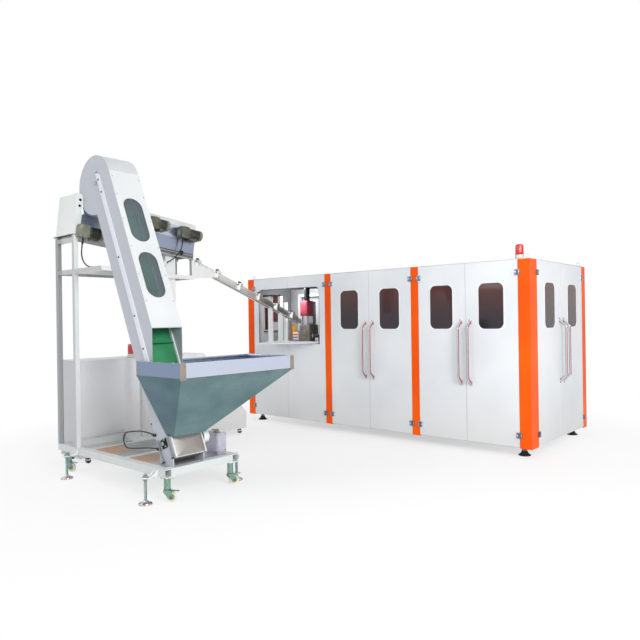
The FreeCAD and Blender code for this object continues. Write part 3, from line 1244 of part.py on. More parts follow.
def throat(edge):
    """Corners of the hopper's throat, drawn in by the edge distance."""
    return [(f"throat_left + {edge}", f"lift_near + {edge}"),
            (f"throat_right - {edge}", f"lift_near + {edge}"),
            (f"throat_right - {edge}", f"lift_far - {edge}"),
            (f"throat_left + {edge}", f"lift_far - {edge}")]


walls = []
for i, name in enumerate(("near", "right", "far", "left")):
    # each wall of the bowl is one sheet, mitred where it is welded to its neighbours
    loops = []
    for ring in (throat, rim):
        outside, inside = ring("0"), ring("hopper_sheet * 1.4")
        k = (i + 1) % 4
        loops.append([outside[i], outside[k], inside[k], inside[i]])
    walls.append(hull(f"hopper_wall_{name}", [("hopper_foot", loops[0]),
                                              ("hopper_knee", loops[1])]))
band_outer = box("hopper_band_outer", ("hopper_left", "hopper_right"),
                 ("hopper_near", "hopper_far"), ("hopper_knee", "hopper_top"))
band_inner = box("hopper_band_inner",
                 ("hopper_left + hopper_sheet * 1.4", "hopper_right - hopper_sheet * 1.4"),
                 ("hopper_near + hopper_sheet * 1.4", "hopper_far - hopper_sheet * 1.4"),
                 ("hopper_knee - 1", "hopper_top + 1"))
hopper_slot = prism("hopper_slot", "XZ_Plane", near, far, [
    up_lift("0", "0 - 0.3"), up_lift("0", "lift_low_front + 0.3"),
    up_lift("mouth_low_u", "lift_low_front + 0.3"), up_lift("mouth_u + 50", "lift_front + 20"),
    up_lift("mouth_u + 50", "0 - 0.3")])
rail_slot = prism("hopper_rail_slot", "XZ_Plane", f"{near} - 10.3", f"{far} + 10.3", [
    up_lift("mouth_low_u - 121", "149.7"), up_lift("mouth_low_u - 121", "188.3"),
    up_lift("mouth_u + 50", "188.3"), up_lift("mouth_u + 50", "149.7")])
rim_strips = [box("hopper_rim_near", ("hopper_left", "hopper_right"),
                  ("hopper_near", "hopper_near + 25"), ("hopper_top - 3", "hopper_top")),
              box("hopper_rim_far", ("hopper_left", "hopper_right"),
                  ("hopper_far - 25", "hopper_far"), ("hopper_top - 3", "hopper_top")),
              box("hopper_rim_right", ("hopper_right - 25", "hopper_right"),
                  ("hopper_near", "hopper_far"), ("hopper_top - 3", "hopper_top")),
              box("hopper_rim_left", ("hopper_left", "hopper_left + 25"),
                  ("lift_far + 20", "hopper_far"), ("hopper_top - 3", "hopper_top"))]
band = join("hopper_rimmed", [cut("hopper_band_shell", band_outer, band_inner)] + rim_strips)
sheets = [cut(f"hopper_sheet_{i}", sheet, hopper_slot, rail_slot)
          for i, sheet in enumerate(walls + [band])]
node(group("hopper_whole", sheets), "hopper")

# ---------------------------------------------------------------- sorter
hood_x = ("0 - hood_wide / 2", "hood_wide / 2")
hood_outer = box("hood_outer", hood_x, ("0", "hood_long"), ("0", "hood_tall"))
hood_inner = box("hood_inner", ("hood_sheet - hood_wide / 2", "hood_wide / 2 - hood_sheet"),
                 ("hood_sheet", "hood_long - hood_sheet"), ("0 - 1", "hood_tall - hood_sheet"))
exit_hole = box("hood_exit", ("0 - roller_x - roller / 2 - 15", "roller_x + roller / 2 + 15"),
                ("hood_long - hood_sheet - 1", "hood_long + 1"), ("0 - 1", "160"))
kick_y, kick_z = "hood_long - 194", "259"
shaft_hole = rod("hood_shaft_hole", "x", ("0", kick_y, kick_z), "hood_wide", "24 + 2 * shaft_fit + 2")
flange = box("hood_flange", ("0 - hood_wide / 2 - 50", "hood_wide / 2"), ("0", "70"), ("0 - 6", "0"))
hood = join("hood_whole", [cut("hood_shell", hood_outer, hood_inner, exit_hole, shaft_hole), flange])
set_sorter(hood)
spout_slot = box("hood_spout_slot", ("spout_left - 2", "spout_left + 140"),
                 ("lift_near - 2", "lift_far + 2"), ("spout_low - 2", "head_z"))
node(cut("hood_cut", hood, spout_slot), "sorter_hood")

trough = []
for name, sign in (("left", "-"), ("right", "+")):
    points = [(f"0 {sign} (hood_wide / 2 - hood_sheet)", "200"),
              (f"0 {sign} (hood_wide / 2 - hood_sheet)", "196"),
              (f"0 {sign} (roller_x + roller / 2 + 6)", "96"),
              (f"0 {sign} (roller_x + roller / 2 + 6)", "100")]
    trough.append(prism(f"trough_{name}", "XZ_Plane", "hood_sheet", "hood_long - hood_sheet", points))
bearing_bores = [rod(f"bearing_bore_{name}", "y", (x, "hood_sheet - 1", "roller_z"), "hood_long",
                     "roller_shaft + 2 * shaft_fit")
                 for name, x in (("left", "0 - roller_x"), ("right", "roller_x"))]
bearings = [box("bearing_near", ("0 - hood_wide / 2 + hood_sheet", "hood_wide / 2 - hood_sheet"),
                ("hood_sheet", "hood_sheet + 12"), ("20", "120")),
            box("bearing_far", ("0 - hood_wide / 2 + hood_sheet", "hood_wide / 2 - hood_sheet"),
                ("hood_long - hood_sheet - 24", "hood_long - hood_sheet - 12"), ("20", "90"))]
trough_whole = cut("trough_cut", join("trough_whole", trough + bearings), *bearing_bores)
set_sorter(trough_whole)
node(trough_whole, "sorter_trough")

for name, x in (("left", "0 - roller_x"), ("right", "roller_x")):
    barrel = rod(f"{name}_roller_barrel", "y", (x, "hood_sheet + 20", "roller_z"), "hood_long - 60",
                 "roller")
    shaft = rod(f"{name}_roller_shaft", "y", (x, "hood_sheet + 0.5", "roller_z"),
                "hood_long - 2 * hood_sheet - 1 - 10", "roller_shaft")
    roll = join(f"{name}_roller_whole", [barrel, shaft])
    set_sorter(roll)
    node(roll, f"{name}_roller")

kick = [rod("kick_hub", "x", ("0 - 45", kick_y, kick_z), "90", "50"),
        rod("kick_shaft", "x", ("0", kick_y, kick_z), "hood_wide / 2 - 0.3", "24")]
for i in range(3):
    blade = doc.addObject("Part::Box", f"kick_blade{i}")
    bind(blade, "Length", "90")
    bind(blade, "Width", "kick_across")
    bind(blade, "Height", "8")
    turn = FreeCAD.Rotation(FreeCAD.Vector(1, 0, 0), 60 * i)
    blade.Placement = FreeCAD.Placement(FreeCAD.Vector(), turn)
    bind(blade, "Placement.Base.x", "0 - 45")
    for letter, centre, half, thin in (("y", kick_y, math.cos(math.radians(60 * i)),
                                        -math.sin(math.radians(60 * i))),
                                       ("z", kick_z, math.sin(math.radians(60 * i)),
                                        math.cos(math.radians(60 * i)))):
        bind(blade, f"Placement.Base.{letter}",
             f"{centre} - kick_across / 2 * {half:.6f} - 4 * {thin:.6f}")
    kick.append(blade)
kick_wheel = join("kick_whole", kick)
set_sorter(kick_wheel)
node(kick_wheel, "kick_wheel")

motors = []
for name, y, z, long in (("far", "hood_long - 239", "259", "170"),
                         ("middle", "hood_long - 614", "277", "121"),
                         ("near", "20", "29", "143")):
    side = "(hood_wide / 2 + motor_seat)"
    case = box(f"gearbox_{name}", (side, f"{side} + 110"), (y, f"{y} + gearbox"),
               (f"{z} - 60", f"{z} + 60"))
    heart = f"{side} + motor_across / 2 + 3"
    can = rod(f"motor_{name}", "y", (heart, f"{y} + gearbox", z), f"{long} - 36",
              "motor_across")
    cowl = rod(f"motor_cowl_{name}", "y", (heart, f"{y} + gearbox + {long} - 36", z), "36",
               "motor_across + 4")
    terminal = box(f"motor_terminal_{name}", (f"{side} + 25", f"{side} + 85"),
                   (f"{y} + gearbox + 15", f"{y} + gearbox + {long} - 50"),
                   (f"{z} - motor_across / 2 - 18", f"{z} - 40"))
    pieces = [case, can, cowl, terminal]
    if name != "middle":
        across = f"{side} + 30" if name == "near" else f"{side} + 55"
        pieces.append(rod(f"motor_gland_{name}", "z",
                          (across, f"{y} + gearbox / 2" if name == "far" else f"{y} + gearbox - 30",
                           f"{z} - 60 - 28"), "30", "24"))
    motors.append(join(f"motor_{name}_whole", pieces))
sorter_motors = group("sorter_motors", motors)
set_sorter(sorter_motors)
tail_axle = up_lift("drum_low_u", "drum_v")
tail_seat = "lift_far + motor_seat"
tail_drive = join("tail_motor_whole", [
    rod("tail_motor_flange", "y", (tail_axle[0], tail_seat, tail_axle[1]), "tail_flange",
        "tail_motor"),
    rod("tail_motor_can", "y", (tail_axle[0], f"{tail_seat} + tail_flange", tail_axle[1]),
        "tail_can", "tail_motor - 4")])
node(group("motors", [sorter_motors, tail_drive]), "geared_motors")

# ---------------------------------------------------------------- tail gear and cabinet
junction = [box("junction_case", ("loader_right - 259", "loader_right - 94"),
                ("lift_far + 203", "lift_far + 300"), ("deck_z + 16", "deck_z + 182")),
            box("junction_feet", ("loader_right - 249", "loader_right - 104"),
                ("lift_far + 213", "lift_far + 290"), ("deck_z", "deck_z + 16"))]
node(join("junction", junction), "junction_box")

cabinet_x = ("cabinet_face - cabinet_deep", "cabinet_face")
cabinet_shell = prism("cabinet_shell", "YZ_Plane", *cabinet_x, [
    ("cabinet_near", "cabinet_low"), ("cabinet_far", "cabinet_low"),
    ("cabinet_far", "cabinet_low + 196"), ("cabinet_far - 653", "cabinet_top"),
    ("cabinet_near", "cabinet_top")])
cabinet_room = prism("cabinet_room", "YZ_Plane", "cabinet_face - cabinet_deep + cabinet_sheet",
                     "cabinet_face - cabinet_sheet", [
    ("cabinet_near + cabinet_sheet", "cabinet_low + cabinet_sheet"),
    ("cabinet_far - cabinet_sheet", "cabinet_low + cabinet_sheet"),
    ("cabinet_far - cabinet_sheet", "cabinet_low + 196 - cabinet_sheet / 2"),
    ("cabinet_far - 653 - cabinet_sheet / 2", "cabinet_top - cabinet_sheet"),
    ("cabinet_near + cabinet_sheet", "cabinet_top - cabinet_sheet")])
cabinet = [cut("cabinet_body", cabinet_shell, cabinet_room)]
for i, y in enumerate(("cabinet_near + 90", "cabinet_far - 92")):
    for side, x in (("left", "cabinet_face - cabinet_deep + 40"), ("right", "cabinet_face - 40")):
        cabinet.append(box(f"cabinet_fork_{side}{i}", (f"{x} - 15", f"{x} + 15"),
                           (f"{y} - 12", f"{y} + 26"), ("30", "cabinet_low")))
        cabinet.append(rod(f"cabinet_wheel_{side}{i}", "x", (f"{x} - 11", f"{y} + 10", "27"), "22",
                           "54"))
node(join("cabinet_whole", cabinet), "control_cabinet")

# ---------------------------------------------------------------- cords


def cord(name, points, plane, level, across):
    """A cord along straight runs joined by arcs that touch both runs, in one plane."""
    spots = [FreeCAD.Vector(a, b, 0) for a, b in points]
    path = doc.addObject("Sketcher::SketchObject", name + "_route")
    turns = {"YZ": FreeCAD.Rotation(FreeCAD.Vector(1, 1, 1), 120),
             "XZ": FreeCAD.Rotation(FreeCAD.Vector(1, 0, 0), 90)}
    here = FreeCAD.Vector(level, 0, 0) if plane == "YZ" else FreeCAD.Vector(0, level, 0)
    path.Placement = FreeCAD.Placement(here, turns[plane])
    start = spots[0]
    count = 0
    for before, knee, after in zip(spots, spots[1:], spots[2:]):
        come, go = (knee - before), (after - knee)
        turn = come.getAngle(go)
        run = 0.45 * min(come.Length, go.Length)
        radius = run / math.tan(turn / 2)
        print(name, "radius", round(radius, 1), "turn", round(math.degrees(turn)))
        first = knee - come.normalize() * run
        last = knee + go.normalize() * run
        half = (go - come).normalize()
        centre = knee + half * (radius / math.cos(turn / 2))
        middle = centre - half * radius
        path.addGeometry(Part.LineSegment(start, first))
        path.addGeometry(Part.Arc(first, middle, last))
        start = last
        count += 2
    path.addGeometry(Part.LineSegment(start, spots[-1]))
    count += 1
    ring_line = doc.addObject("Part::Circle", name + "_section")
    ring_line.Radius = across / 2
    way = path.Placement.Rotation.multVec(spots[1] - spots[0])
    ring_line.Placement = FreeCAD.Placement(path.Placement.multVec(spots[0]),
                                            FreeCAD.Rotation(FreeCAD.Vector(0, 0, 1), way))
    doc.recompute()
    sweep = doc.addObject("Part::Sweep", name + "_sweep")
    sweep.Sections = [ring_line]
    sweep.Spine = (path, [f"Edge{i + 1}" for i in range(count)])
    sweep.Solid = True
    sweep.Frenet = False
    doc.recompute()
    flesh = math.pi * across ** 2 / 4
    route = sum(edge.Length for edge in path.Shape.Edges)
    print(name, "length", round(route, 1), "volume ratio",
          round(sweep.Shape.Volume / (flesh * route), 4))
    node(sweep, name)


cord("near_motor_cord", [(-2840, 2165), (-2858, 2110), (-2866, 2050), (-2842, 1990),
                         (-2790, 1946), (-2715, 1920), (-2640, 1908)], "XZ", -3209.5, 12)
cord("far_motor_cord", [(-2104, 2267), (-2112, 2200), (-2150, 2140), (-2200, 2088),
                        (-2258, 2045), (-2320, 2020)], "YZ", -2815, 12)
cord("tail_cord", [(-1764, 494), (-1865, 506), (-1970, 504), (-2076, 488), (-2178, 473),
                   (-2218, 433), (-2218, 377), (-2178, 337), (-2076, 344), (-1970, 360),
                   (-1865, 376), (-1785, 384), (-1708, 388)], "XZ", -3192.5, 12)

# ---------------------------------------------------------------- check and export
doc.recompute()
for item in doc.Objects:
    if "Invalid" in item.State or "Error" in item.State:
        raise RuntimeError(f"{item.Name} did not rebuild: {item.State}")
for item in NODES:
    shape = item.Shape
    if shape.isNull() or not shape.isValid() or not shape.Solids:
        raise RuntimeError(f"{item.Label} has no sound shape")
for item in NODES:
    item.Shape.exportStep(f"parts/{item.Label}.step")
    print(item.Label, len(item.Shape.Solids), round(item.Shape.Volume / 1000))
print(len(NODES), "nodes")
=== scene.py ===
"""Looks of a linear bottle blow moulding machine with its preform loader.

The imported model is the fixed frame. Every operator below dresses one piece, or one
group of like pieces: painted sheet, windows, handles, motors, hopper, belt, casters,
leads, and the stage with its light and camera.
"""
import math

import bmesh
import bpy
import numpy as np
from bpy.props import FloatProperty, FloatVectorProperty, IntProperty, PointerProperty
from mathutils import Matrix, Vector


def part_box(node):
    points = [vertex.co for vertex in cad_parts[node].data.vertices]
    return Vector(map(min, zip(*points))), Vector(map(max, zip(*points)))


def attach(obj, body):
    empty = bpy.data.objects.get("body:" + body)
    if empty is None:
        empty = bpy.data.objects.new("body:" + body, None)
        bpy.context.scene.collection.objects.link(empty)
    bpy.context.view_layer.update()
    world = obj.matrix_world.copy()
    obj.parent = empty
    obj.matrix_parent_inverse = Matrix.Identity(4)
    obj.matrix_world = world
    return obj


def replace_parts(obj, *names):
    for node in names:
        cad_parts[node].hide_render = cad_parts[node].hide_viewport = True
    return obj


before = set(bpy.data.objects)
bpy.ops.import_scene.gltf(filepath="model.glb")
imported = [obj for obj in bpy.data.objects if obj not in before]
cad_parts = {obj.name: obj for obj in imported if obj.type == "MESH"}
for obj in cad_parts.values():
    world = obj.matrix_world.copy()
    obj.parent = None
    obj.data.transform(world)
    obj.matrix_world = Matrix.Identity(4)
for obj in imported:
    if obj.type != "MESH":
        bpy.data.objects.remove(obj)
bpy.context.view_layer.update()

bl_info = {
    "name": "Blow moulding machine looks",
    "version": (1, 0, 0),
    "blender": (4, 5, 0),
    "location": "View3D > Sidebar > Machine",
    "description": "Finishes and fittings of a blow moulding machine and its preform loader",
    "category": "Object",
}

MM = 0.001          # shapes are worked out in millimetres and stored in metres
ROOT = "machine"    # the body that stands still
X, Y, Z = np.eye(3)
QUARTER = math.pi / 2
TURN = 2 * math.pi


# ------------------------------------------------------------------ places from the frame
def span(node):
    """Lowest and highest corner of a CAD node, in millimetres."""
    low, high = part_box(node)
    return np.array(low) / MM, np.array(high) / MM


def local(origin, along_x=X, along_y=Y, along_z=Z):
    """A 4 x 4 matrix whose columns are three directions and an origin, in millimetres."""
    matrix = np.eye(4)
    matrix[:3] = np.stack([along_x, along_y, along_z, origin], 1)
    return matrix


def on(matrix, points):
    """Points of a local frame in the machine's frame."""
    return np.asarray(points, float) @ matrix[:3, :3].T + matrix[:3, 3]


LEAN = math.radians(24.2)
FALL = math.radians(6.7)
CHUTE_YAW, CHUTE_DIP = math.radians(96.04), math.radians(18.69)
LIFT_NEAR, LIFT_WIDE = -3186.0, 300.0
# elevator: x across its thickness, y across its width, z along its length
LIFT = local((-1659, LIFT_NEAR, 266), (math.cos(LEAN), 0, math.sin(LEAN)), Y,
             (-math.sin(LEAN), 0, math.cos(LEAN)))
# sorter: x across, y down its slope, z up from its foot
SORTER = local((-3036.14, -3287, 2235.74), X, (0, math.cos(FALL), -math.sin(FALL)),
               (0, math.sin(FALL), math.cos(FALL)))
# chute: x down its slope, y across, z up
CHUTE_X = np.array((math.cos(CHUTE_YAW) * math.cos(CHUTE_DIP),
                    math.sin(CHUTE_YAW) * math.cos(CHUTE_DIP), -math.sin(CHUTE_DIP)))
CHUTE_Y = np.array((-math.sin(CHUTE_YAW), math.cos(CHUTE_YAW), 0))
CHUTE = local((-3036.14, -1805.32, 2054.6), CHUTE_X, CHUTE_Y, np.cross(CHUTE_X, CHUTE_Y))

# outer faces of the enclosure: across, out, up
FRONT = local((0, -130, 0), X, -Y, Z)
END = local((130, 0, 0), Y, X, Z)
LEFT_END = local((-3970, 0, 0), Y, -X, Z)
FRONT_DOORS = ("feed_left", "feed_right", "middle_left", "middle_right", "blow_left", "blow_right")
END_DOORS = ("end_front", "end_back")
LEFT_HUNG = ("feed_left", "middle_left", "blow_left", "end_front")
HINGE_LEVELS = (220.0, 1858.0)
HANDLE_IN, FEED_EDGE_IN = 53, 96    # from a leaf's free edge, and from its hinge edge


# ------------------------------------------------------------------ shapes
def grid_faces(rings, sides):
    """Quads between neighbouring rings that have the same count of points."""
    ring, side = np.meshgrid(np.arange(rings - 1), np.arange(sides), indexing="ij")
    first = ring * sides + side
    second = ring * sides + (side + 1) % sides
    return np.stack([first, second, second + sides, first + sides], -1).reshape(-1, 4)


def skin(rings, close=True):
    """A surface over rings of points; closed ends run in to the middle of their ring."""
    rings = np.asarray(rings, float)
    if close:
        first, last = (np.repeat(ring.mean(0)[None, None], rings.shape[1], 1)
                       for ring in (rings[0], rings[-1]))
        rings = np.concatenate([first, rings, last])
    return rings.reshape(-1, 3), grid_faces(len(rings), rings.shape[1])


def combine(parts):
    """Several (points, faces) parts as one."""
    starts = np.cumsum([0] + [len(points) for points, faces in parts])
    return (np.concatenate([points for points, faces in parts]),
            np.concatenate([faces + start for (points, faces), start in zip(parts, starts)]))


def placed(part, matrix):
    """A part of a local frame in the machine's frame."""
    return on(matrix, part[0]), part[1]


def basis(axis):
    """Three unit directions at right angles, the last along an axis."""
    axis = np.asarray(axis, float) / np.linalg.norm(axis)
    steep = 0.9     # past this the axis is too near Z to measure from it
    first = np.cross(Z if abs(axis[2]) < steep else X, axis)
    first /= np.linalg.norm(first)
    return first, np.cross(axis, first), axis


def copies(part, spots, axis, where=None):
    """Copies of a part made about the origin along +Z, set at points of a local frame with +Z
    turned to an axis of it."""
    if where is not None:
        spots, axis = on(where, spots), where[:3, :3] @ axis
    turn = np.stack(basis(axis), 1)
    return combine([(part[0] @ turn.T + np.asarray(spot, float), part[1]) for spot in spots])


def standing(part, *spots):
    """Copies of a part made about the origin, set at points and not turned."""
    return combine([(part[0] + np.asarray(spot, float), part[1]) for spot in spots])


def around(count, radius=1.0):
    """Points round a circle: radius times cosine and sine of equal angles."""
    angle = np.linspace(0, TURN, count, endpoint=False)
    return np.stack([radius * np.cos(angle), radius * np.sin(angle)], -1)


def bolt_circle(count, radius, centre, axes, start=0.0):
    """Spots on a circle: the centre plus cosine and sine of equal angles along two axes."""
    angle = start + np.arange(count) * TURN / count
    return (np.asarray(centre, float) + radius * np.cos(angle)[:, None] * axes[0]
            + radius * np.sin(angle)[:, None] * axes[1])


def corners(across, up, level, way=1):
    """Spots at every meeting of two sets of coordinates; the level is the third, on one axis."""
    return [np.insert(np.array((a, b), float), way, level) for a in across for b in up]


def rounded(wide, tall, corner, steps=6):
    """Outline of a rounded rectangle: four quarter circles, each on its corner's centre."""
    corner = min(corner, wide / 2 - 1e-4, tall / 2 - 1e-4)
    quarter = np.linspace(0, QUARTER, steps + 1)
    return np.concatenate([
        np.stack([sx * (wide / 2 - corner) + corner * np.cos(quarter + k * QUARTER),
                  sy * (tall / 2 - corner) + corner * np.sin(quarter + k * QUARTER)], -1)
        for k, (sx, sy) in enumerate(((1, 1), (-1, 1), (-1, -1), (1, -1)))])


def slab(low, high, corner=2.0, edge=1.0, axis="z"):
    """A block between two corners: a rounded rectangle carried along an axis, drawn in at both
    ends by a quarter circle of the edge radius."""
    low, high = np.minimum(low, high).astype(float), np.maximum(low, high).astype(float)
    way = "xyz".index(axis)
    first, second = (k for k in range(3) if k != way)
    middle, size = (low + high) / 2, high - low
    edge = min(edge, size.min() / 2.01)
    angles = np.linspace(0, QUARTER, 3)
    rise, inset = edge * (1 - np.cos(angles)), edge * (1 - np.sin(angles))
    levels = np.concatenate([low[way] + rise, (high[way] - rise)[::-1]])
    rings = []
    for level, draw in zip(levels, np.concatenate([inset, inset[::-1]])):
        flat = rounded(size[first] - 2 * draw, size[second] - 2 * draw,
                       max(corner - draw, 0.05), 3) + middle[[first, second]]
        rings.append(np.insert(flat, way, level, axis=1))
    return skin(rings)


def slabs(corner, edge, axis, *pairs):
    """Blocks that share their corner and edge radius and their axis."""
    return [slab(low, high, corner, edge, axis) for low, high in pairs]


def turned(profile, centre=(0, 0, 0), axis=Z, count=32):
    """A round piece: a profile of (radius, height) turned about an axis through its centre."""
    first, second, way = basis(axis)
    ring = around(count)
    circle = ring[:, :1] * first + ring[:, 1:] * second
    return skin([np.asarray(centre, float) + radius * circle + height * way
                 for radius, height in profile])


def sweep(outline, path, up=Z, closed=False):
    """An outline carried along a path: at each point its plane halves the bend, and the outline
    widens by one over the cosine of half the bend so the runs keep their width."""
    path, outline = np.asarray(path, float), np.asarray(outline, float)
    after, before = np.roll(path, -1, 0) - path, path - np.roll(path, 1, 0)
    if not closed:
        after[-1], before[0] = before[-1], after[0]
    after /= np.linalg.norm(after, axis=1)[:, None]
    before /= np.linalg.norm(before, axis=1)[:, None]
    way = after + before
    way /= np.linalg.norm(way, axis=1)[:, None]
    stretch = 1 / np.clip((way * after).sum(1), 0.3, 1)
    side = np.cross(way, up)
    side /= np.linalg.norm(side, axis=1)[:, None]
    top = np.cross(side, way)
    bend = after - before
    sideways = np.abs((bend * side).sum(1)) > np.abs((bend * top).sum(1))
    wide = np.where(sideways, stretch, 1.0)[:, None, None]
    tall = np.where(sideways, 1.0, stretch)[:, None, None]
    rings = (path[:, None] + wide * outline[None, :, :1] * side[:, None]
             + tall * outline[None, :, 1:] * top[:, None])
    return skin(np.concatenate([rings, rings[:1]]), close=False) if closed else skin(rings)


def bent_path(knees, radius, steps=6):
    """A path through points, each rounded by an arc that touches both runs."""
    knees = np.asarray(knees, float)
    path = [knees[:1]]
    for before, knee, after in zip(knees, knees[1:], knees[2:]):
        come, go = knee - before, after - knee
        come, go = come / np.linalg.norm(come), go / np.linalg.norm(go)
        turn = math.acos(float(np.clip(come @ go, -1, 1)))
        run = radius * math.tan(turn / 2)
        heart = knee + (go - come) / np.linalg.norm(go - come) * radius / math.cos(turn / 2)
        share = np.linspace(0, 1, steps + 1)[:, None]
        path.append(heart + ((knee - come * run - heart) * np.sin((1 - share) * turn)
                             + (knee + go * run - heart) * np.sin(share * turn)) / math.sin(turn))
    return np.concatenate(path + [knees[-1:]])


def prism(outline, low, high, axis=1):
    """An outline carried straight along one axis: the other two coordinates come from it."""
    return skin([np.insert(np.asarray(outline, float), axis, level, axis=1)
                 for level in (low, high)])


def finned(inner, outer, fins):
    """A toothed outline: the radius steps between the fin's foot and tip, fins times round."""
    share = np.array((0.0, 0.08, 0.42, 0.5))
    angle = (np.arange(fins)[:, None] + share).ravel() * TURN / fins
    radius = np.tile((inner, outer, outer, inner), fins)
    return np.stack([radius * np.cos(angle), radius * np.sin(angle)], -1)


def thread(radius, low, high, pitch=3.0, depth=1.1):
    """A screw's flanks as a profile: radius and radius less the depth in turn, half a pitch
    apart."""
    return [(radius - depth * (i % 2), level)
            for i, level in enumerate(np.arange(low, high, pitch / 2))]


def hex_head(across, tall, washer=0.0):
    """A hexagon head with a chamfered top, on a washer when one is asked for."""
    radius = across / math.sqrt(3)
    base = 1.5 if washer else 0.0
    parts = [turned([(radius, base), (radius, base + tall * 0.85), (radius * 0.86, base + tall)],
                    count=6)]
    if washer:
        parts.append(turned([(washer / 2, 0), (washer / 2, 1.2), (washer / 2 - 0.6, 1.5)],
                            count=14))
    return combine(parts)


def cap_head(across, tall):
    """A round screw head with a rounded rim and a hexagon socket sunk in its top."""
    radius = across / 2
    return turned([(radius, 0), (radius, tall * 0.8), (radius * 0.88, tall), (radius * 0.5, tall),
                   (radius * 0.46, tall * 0.45)], count=12)


FINISHES = {}


def make(name, parts, finish, body=ROOT, angle=32, where=None):
    """A piece in the scene from its parts, which may share a local frame: points merged, normals
    outwards, riding on a body."""
    points, faces = combine(parts)
    if where is not None:
        points = on(where, points)
    mesh = bpy.data.meshes.new(name)
    mesh.from_pydata((points * MM).tolist(), [], faces.tolist())
    work = bmesh.new()
    work.from_mesh(mesh)
    bmesh.ops.remove_doubles(work, verts=work.verts, dist=2e-6)
    bmesh.ops.dissolve_degenerate(work, edges=work.edges, dist=1e-7)
    bmesh.ops.recalc_face_normals(work, faces=work.faces)
    work.to_mesh(mesh)
    work.free()
    mesh.shade_smooth()
    mesh.set_sharp_from_angle(angle=math.radians(angle))
    mesh.materials.append(FINISHES[finish])
    thing = bpy.data.objects.new(name, mesh)
    bpy.context.scene.collection.objects.link(thing)
    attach(thing, body)
    return thing


# ------------------------------------------------------------------ materials
def linear(code):
    """An sRGB hex colour as linear red, green, blue; a colour of the settings is linear."""
    if not isinstance(code, str):
        return tuple(code)
    values = [int(code[i:i + 2], 16) / 255 for i in (1, 3, 5)]
    return tuple(v / 12.92 if v <= 0.04045 else ((v + 0.055) / 1.055) ** 2.4 for v in values)


def add(tree, kind, settings=None, links=None):
    """One node: settings go to its sockets or its own attributes, links join other nodes'
    outputs to its sockets."""
    item = tree.nodes.new(kind)
    for key, value in (settings or {}).items():
        if isinstance(key, int) or key in item.inputs:
            item.inputs[key].default_value = value
        else:
            setattr(item, key, value)
    for key, output in (links or {}).items():
        tree.links.new(item.inputs[key], output)
    return item


def surface(name, tone, rough, metal=0.0, **sockets):
    """A new material with a principled surface; the colour, roughness and other sockets are set
    on the shader itself."""
    finish = bpy.data.materials.new(name)
    finish.use_nodes = True
    tree = finish.node_tree
    shader = tree.nodes["Principled BSDF"]
    values = {"Base Color": (*linear(tone), 1), "Roughness": rough, "Metallic": metal, **sockets}
    for key, value in values.items():
        shader.inputs[key.replace("_", " ")].default_value = value
    return finish, tree, shader, add(tree, "ShaderNodeTexCoord").outputs["Object"]


def parts_of(finish):
    """Node tree, shader, place and normal of a material, to lay more over it."""
    tree = finish.node_tree
    where = tree.nodes["Texture Coordinate"].outputs
    return tree, tree.nodes["Principled BSDF"], where["Object"], where["Normal"]


def along(tree, vector, axis, low, high, start=0.0, end=1.0):
    """A share that runs from start to end between two levels on one axis of a vector."""
    part = add(tree, "ShaderNodeSeparateXYZ", None, {0: vector}).outputs[axis]
    return add(tree, "ShaderNodeMapRange", {"From Min": low, "From Max": high, "To Min": start,
                                            "To Max": end}, {"Value": part}).outputs[0]


def mottle(tree, shader, place, light, dark, size, rough=None, stretch=(1, 1, 1), detail=3.0):
    """Colour drifts between two tones over a cloud pattern of a real size in millimetres, and
    the roughness with it. Returns the pattern."""
    spot = add(tree, "ShaderNodeMapping", {"Scale": stretch}, {"Vector": place}).outputs[0]
    cloud = add(tree, "ShaderNodeTexNoise", {"Scale": 1 / (size * MM), "Detail": detail},
                {"Vector": spot}).outputs["Fac"]
    share = add(tree, "ShaderNodeMapRange", {"From Min": 0.32, "From Max": 0.68}, {"Value": cloud})
    blend = add(tree, "ShaderNodeMix", {"data_type": "RGBA", 6: (*linear(light), 1),
                                        7: (*linear(dark), 1)}, {0: share.outputs[0]})
    tree.links.new(shader.inputs["Base Color"], blend.outputs[2])
    if rough:
        grade = add(tree, "ShaderNodeMapRange", {"From Min": 0.3, "From Max": 0.7,
                                                 "To Min": rough[0], "To Max": rough[1]},
                    {"Value": cloud})
        tree.links.new(shader.inputs["Roughness"], grade.outputs[0])
    return cloud


def relief(tree, shader, height, depth, strength=1.0):
    """A pattern as surface height, its depth in millimetres."""
    bump = add(tree, "ShaderNodeBump", {"Strength": strength, "Distance": depth * MM},
               {"Height": height})
    tree.links.new(shader.inputs["Normal"], bump.outputs[0])


def grain(tree, shader, place, size, depth, strength, detail=1.0):
    """A fine grain of a real size in millimetres as surface height."""
    noise = add(tree, "ShaderNodeTexNoise", {"Scale": 1 / (size * MM), "Detail": detail},
                {"Vector": place})
    relief(tree, shader, noise.outputs["Fac"], depth, strength)


def over(tree, shader, share, tone, kind="MIX"):
    """Another tone laid over what colours the shader now, by a share from nought to one."""
    socket = shader.inputs["Base Color"]
    mix = add(tree, "ShaderNodeMix", {"data_type": "RGBA", "blend_type": kind,
                                      7: (*linear(tone), 1)},
              {0: share, 6: socket.links[0].from_socket})
    tree.links.new(socket, mix.outputs[2])


def region(tree, within=None, **ranges):
    """One where coordinates in metres, or parts of a normal, lie in their ranges, and nought
    outside; each range is (vector, low, high) under its axis."""
    for axis, (vector, low, high) in ranges.items():
        part = add(tree, "ShaderNodeSeparateXYZ", None, {0: vector}).outputs[axis]
        inside = add(tree, "ShaderNodeMath", {"operation": "COMPARE", 1: (low + high) / 2,
                                              2: (high - low) / 2}, {0: part}).outputs[0]
        within = inside if within is None else add(
            tree, "ShaderNodeMath", {"operation": "MULTIPLY"}, {0: within, 1: inside}).outputs[0]
    return within


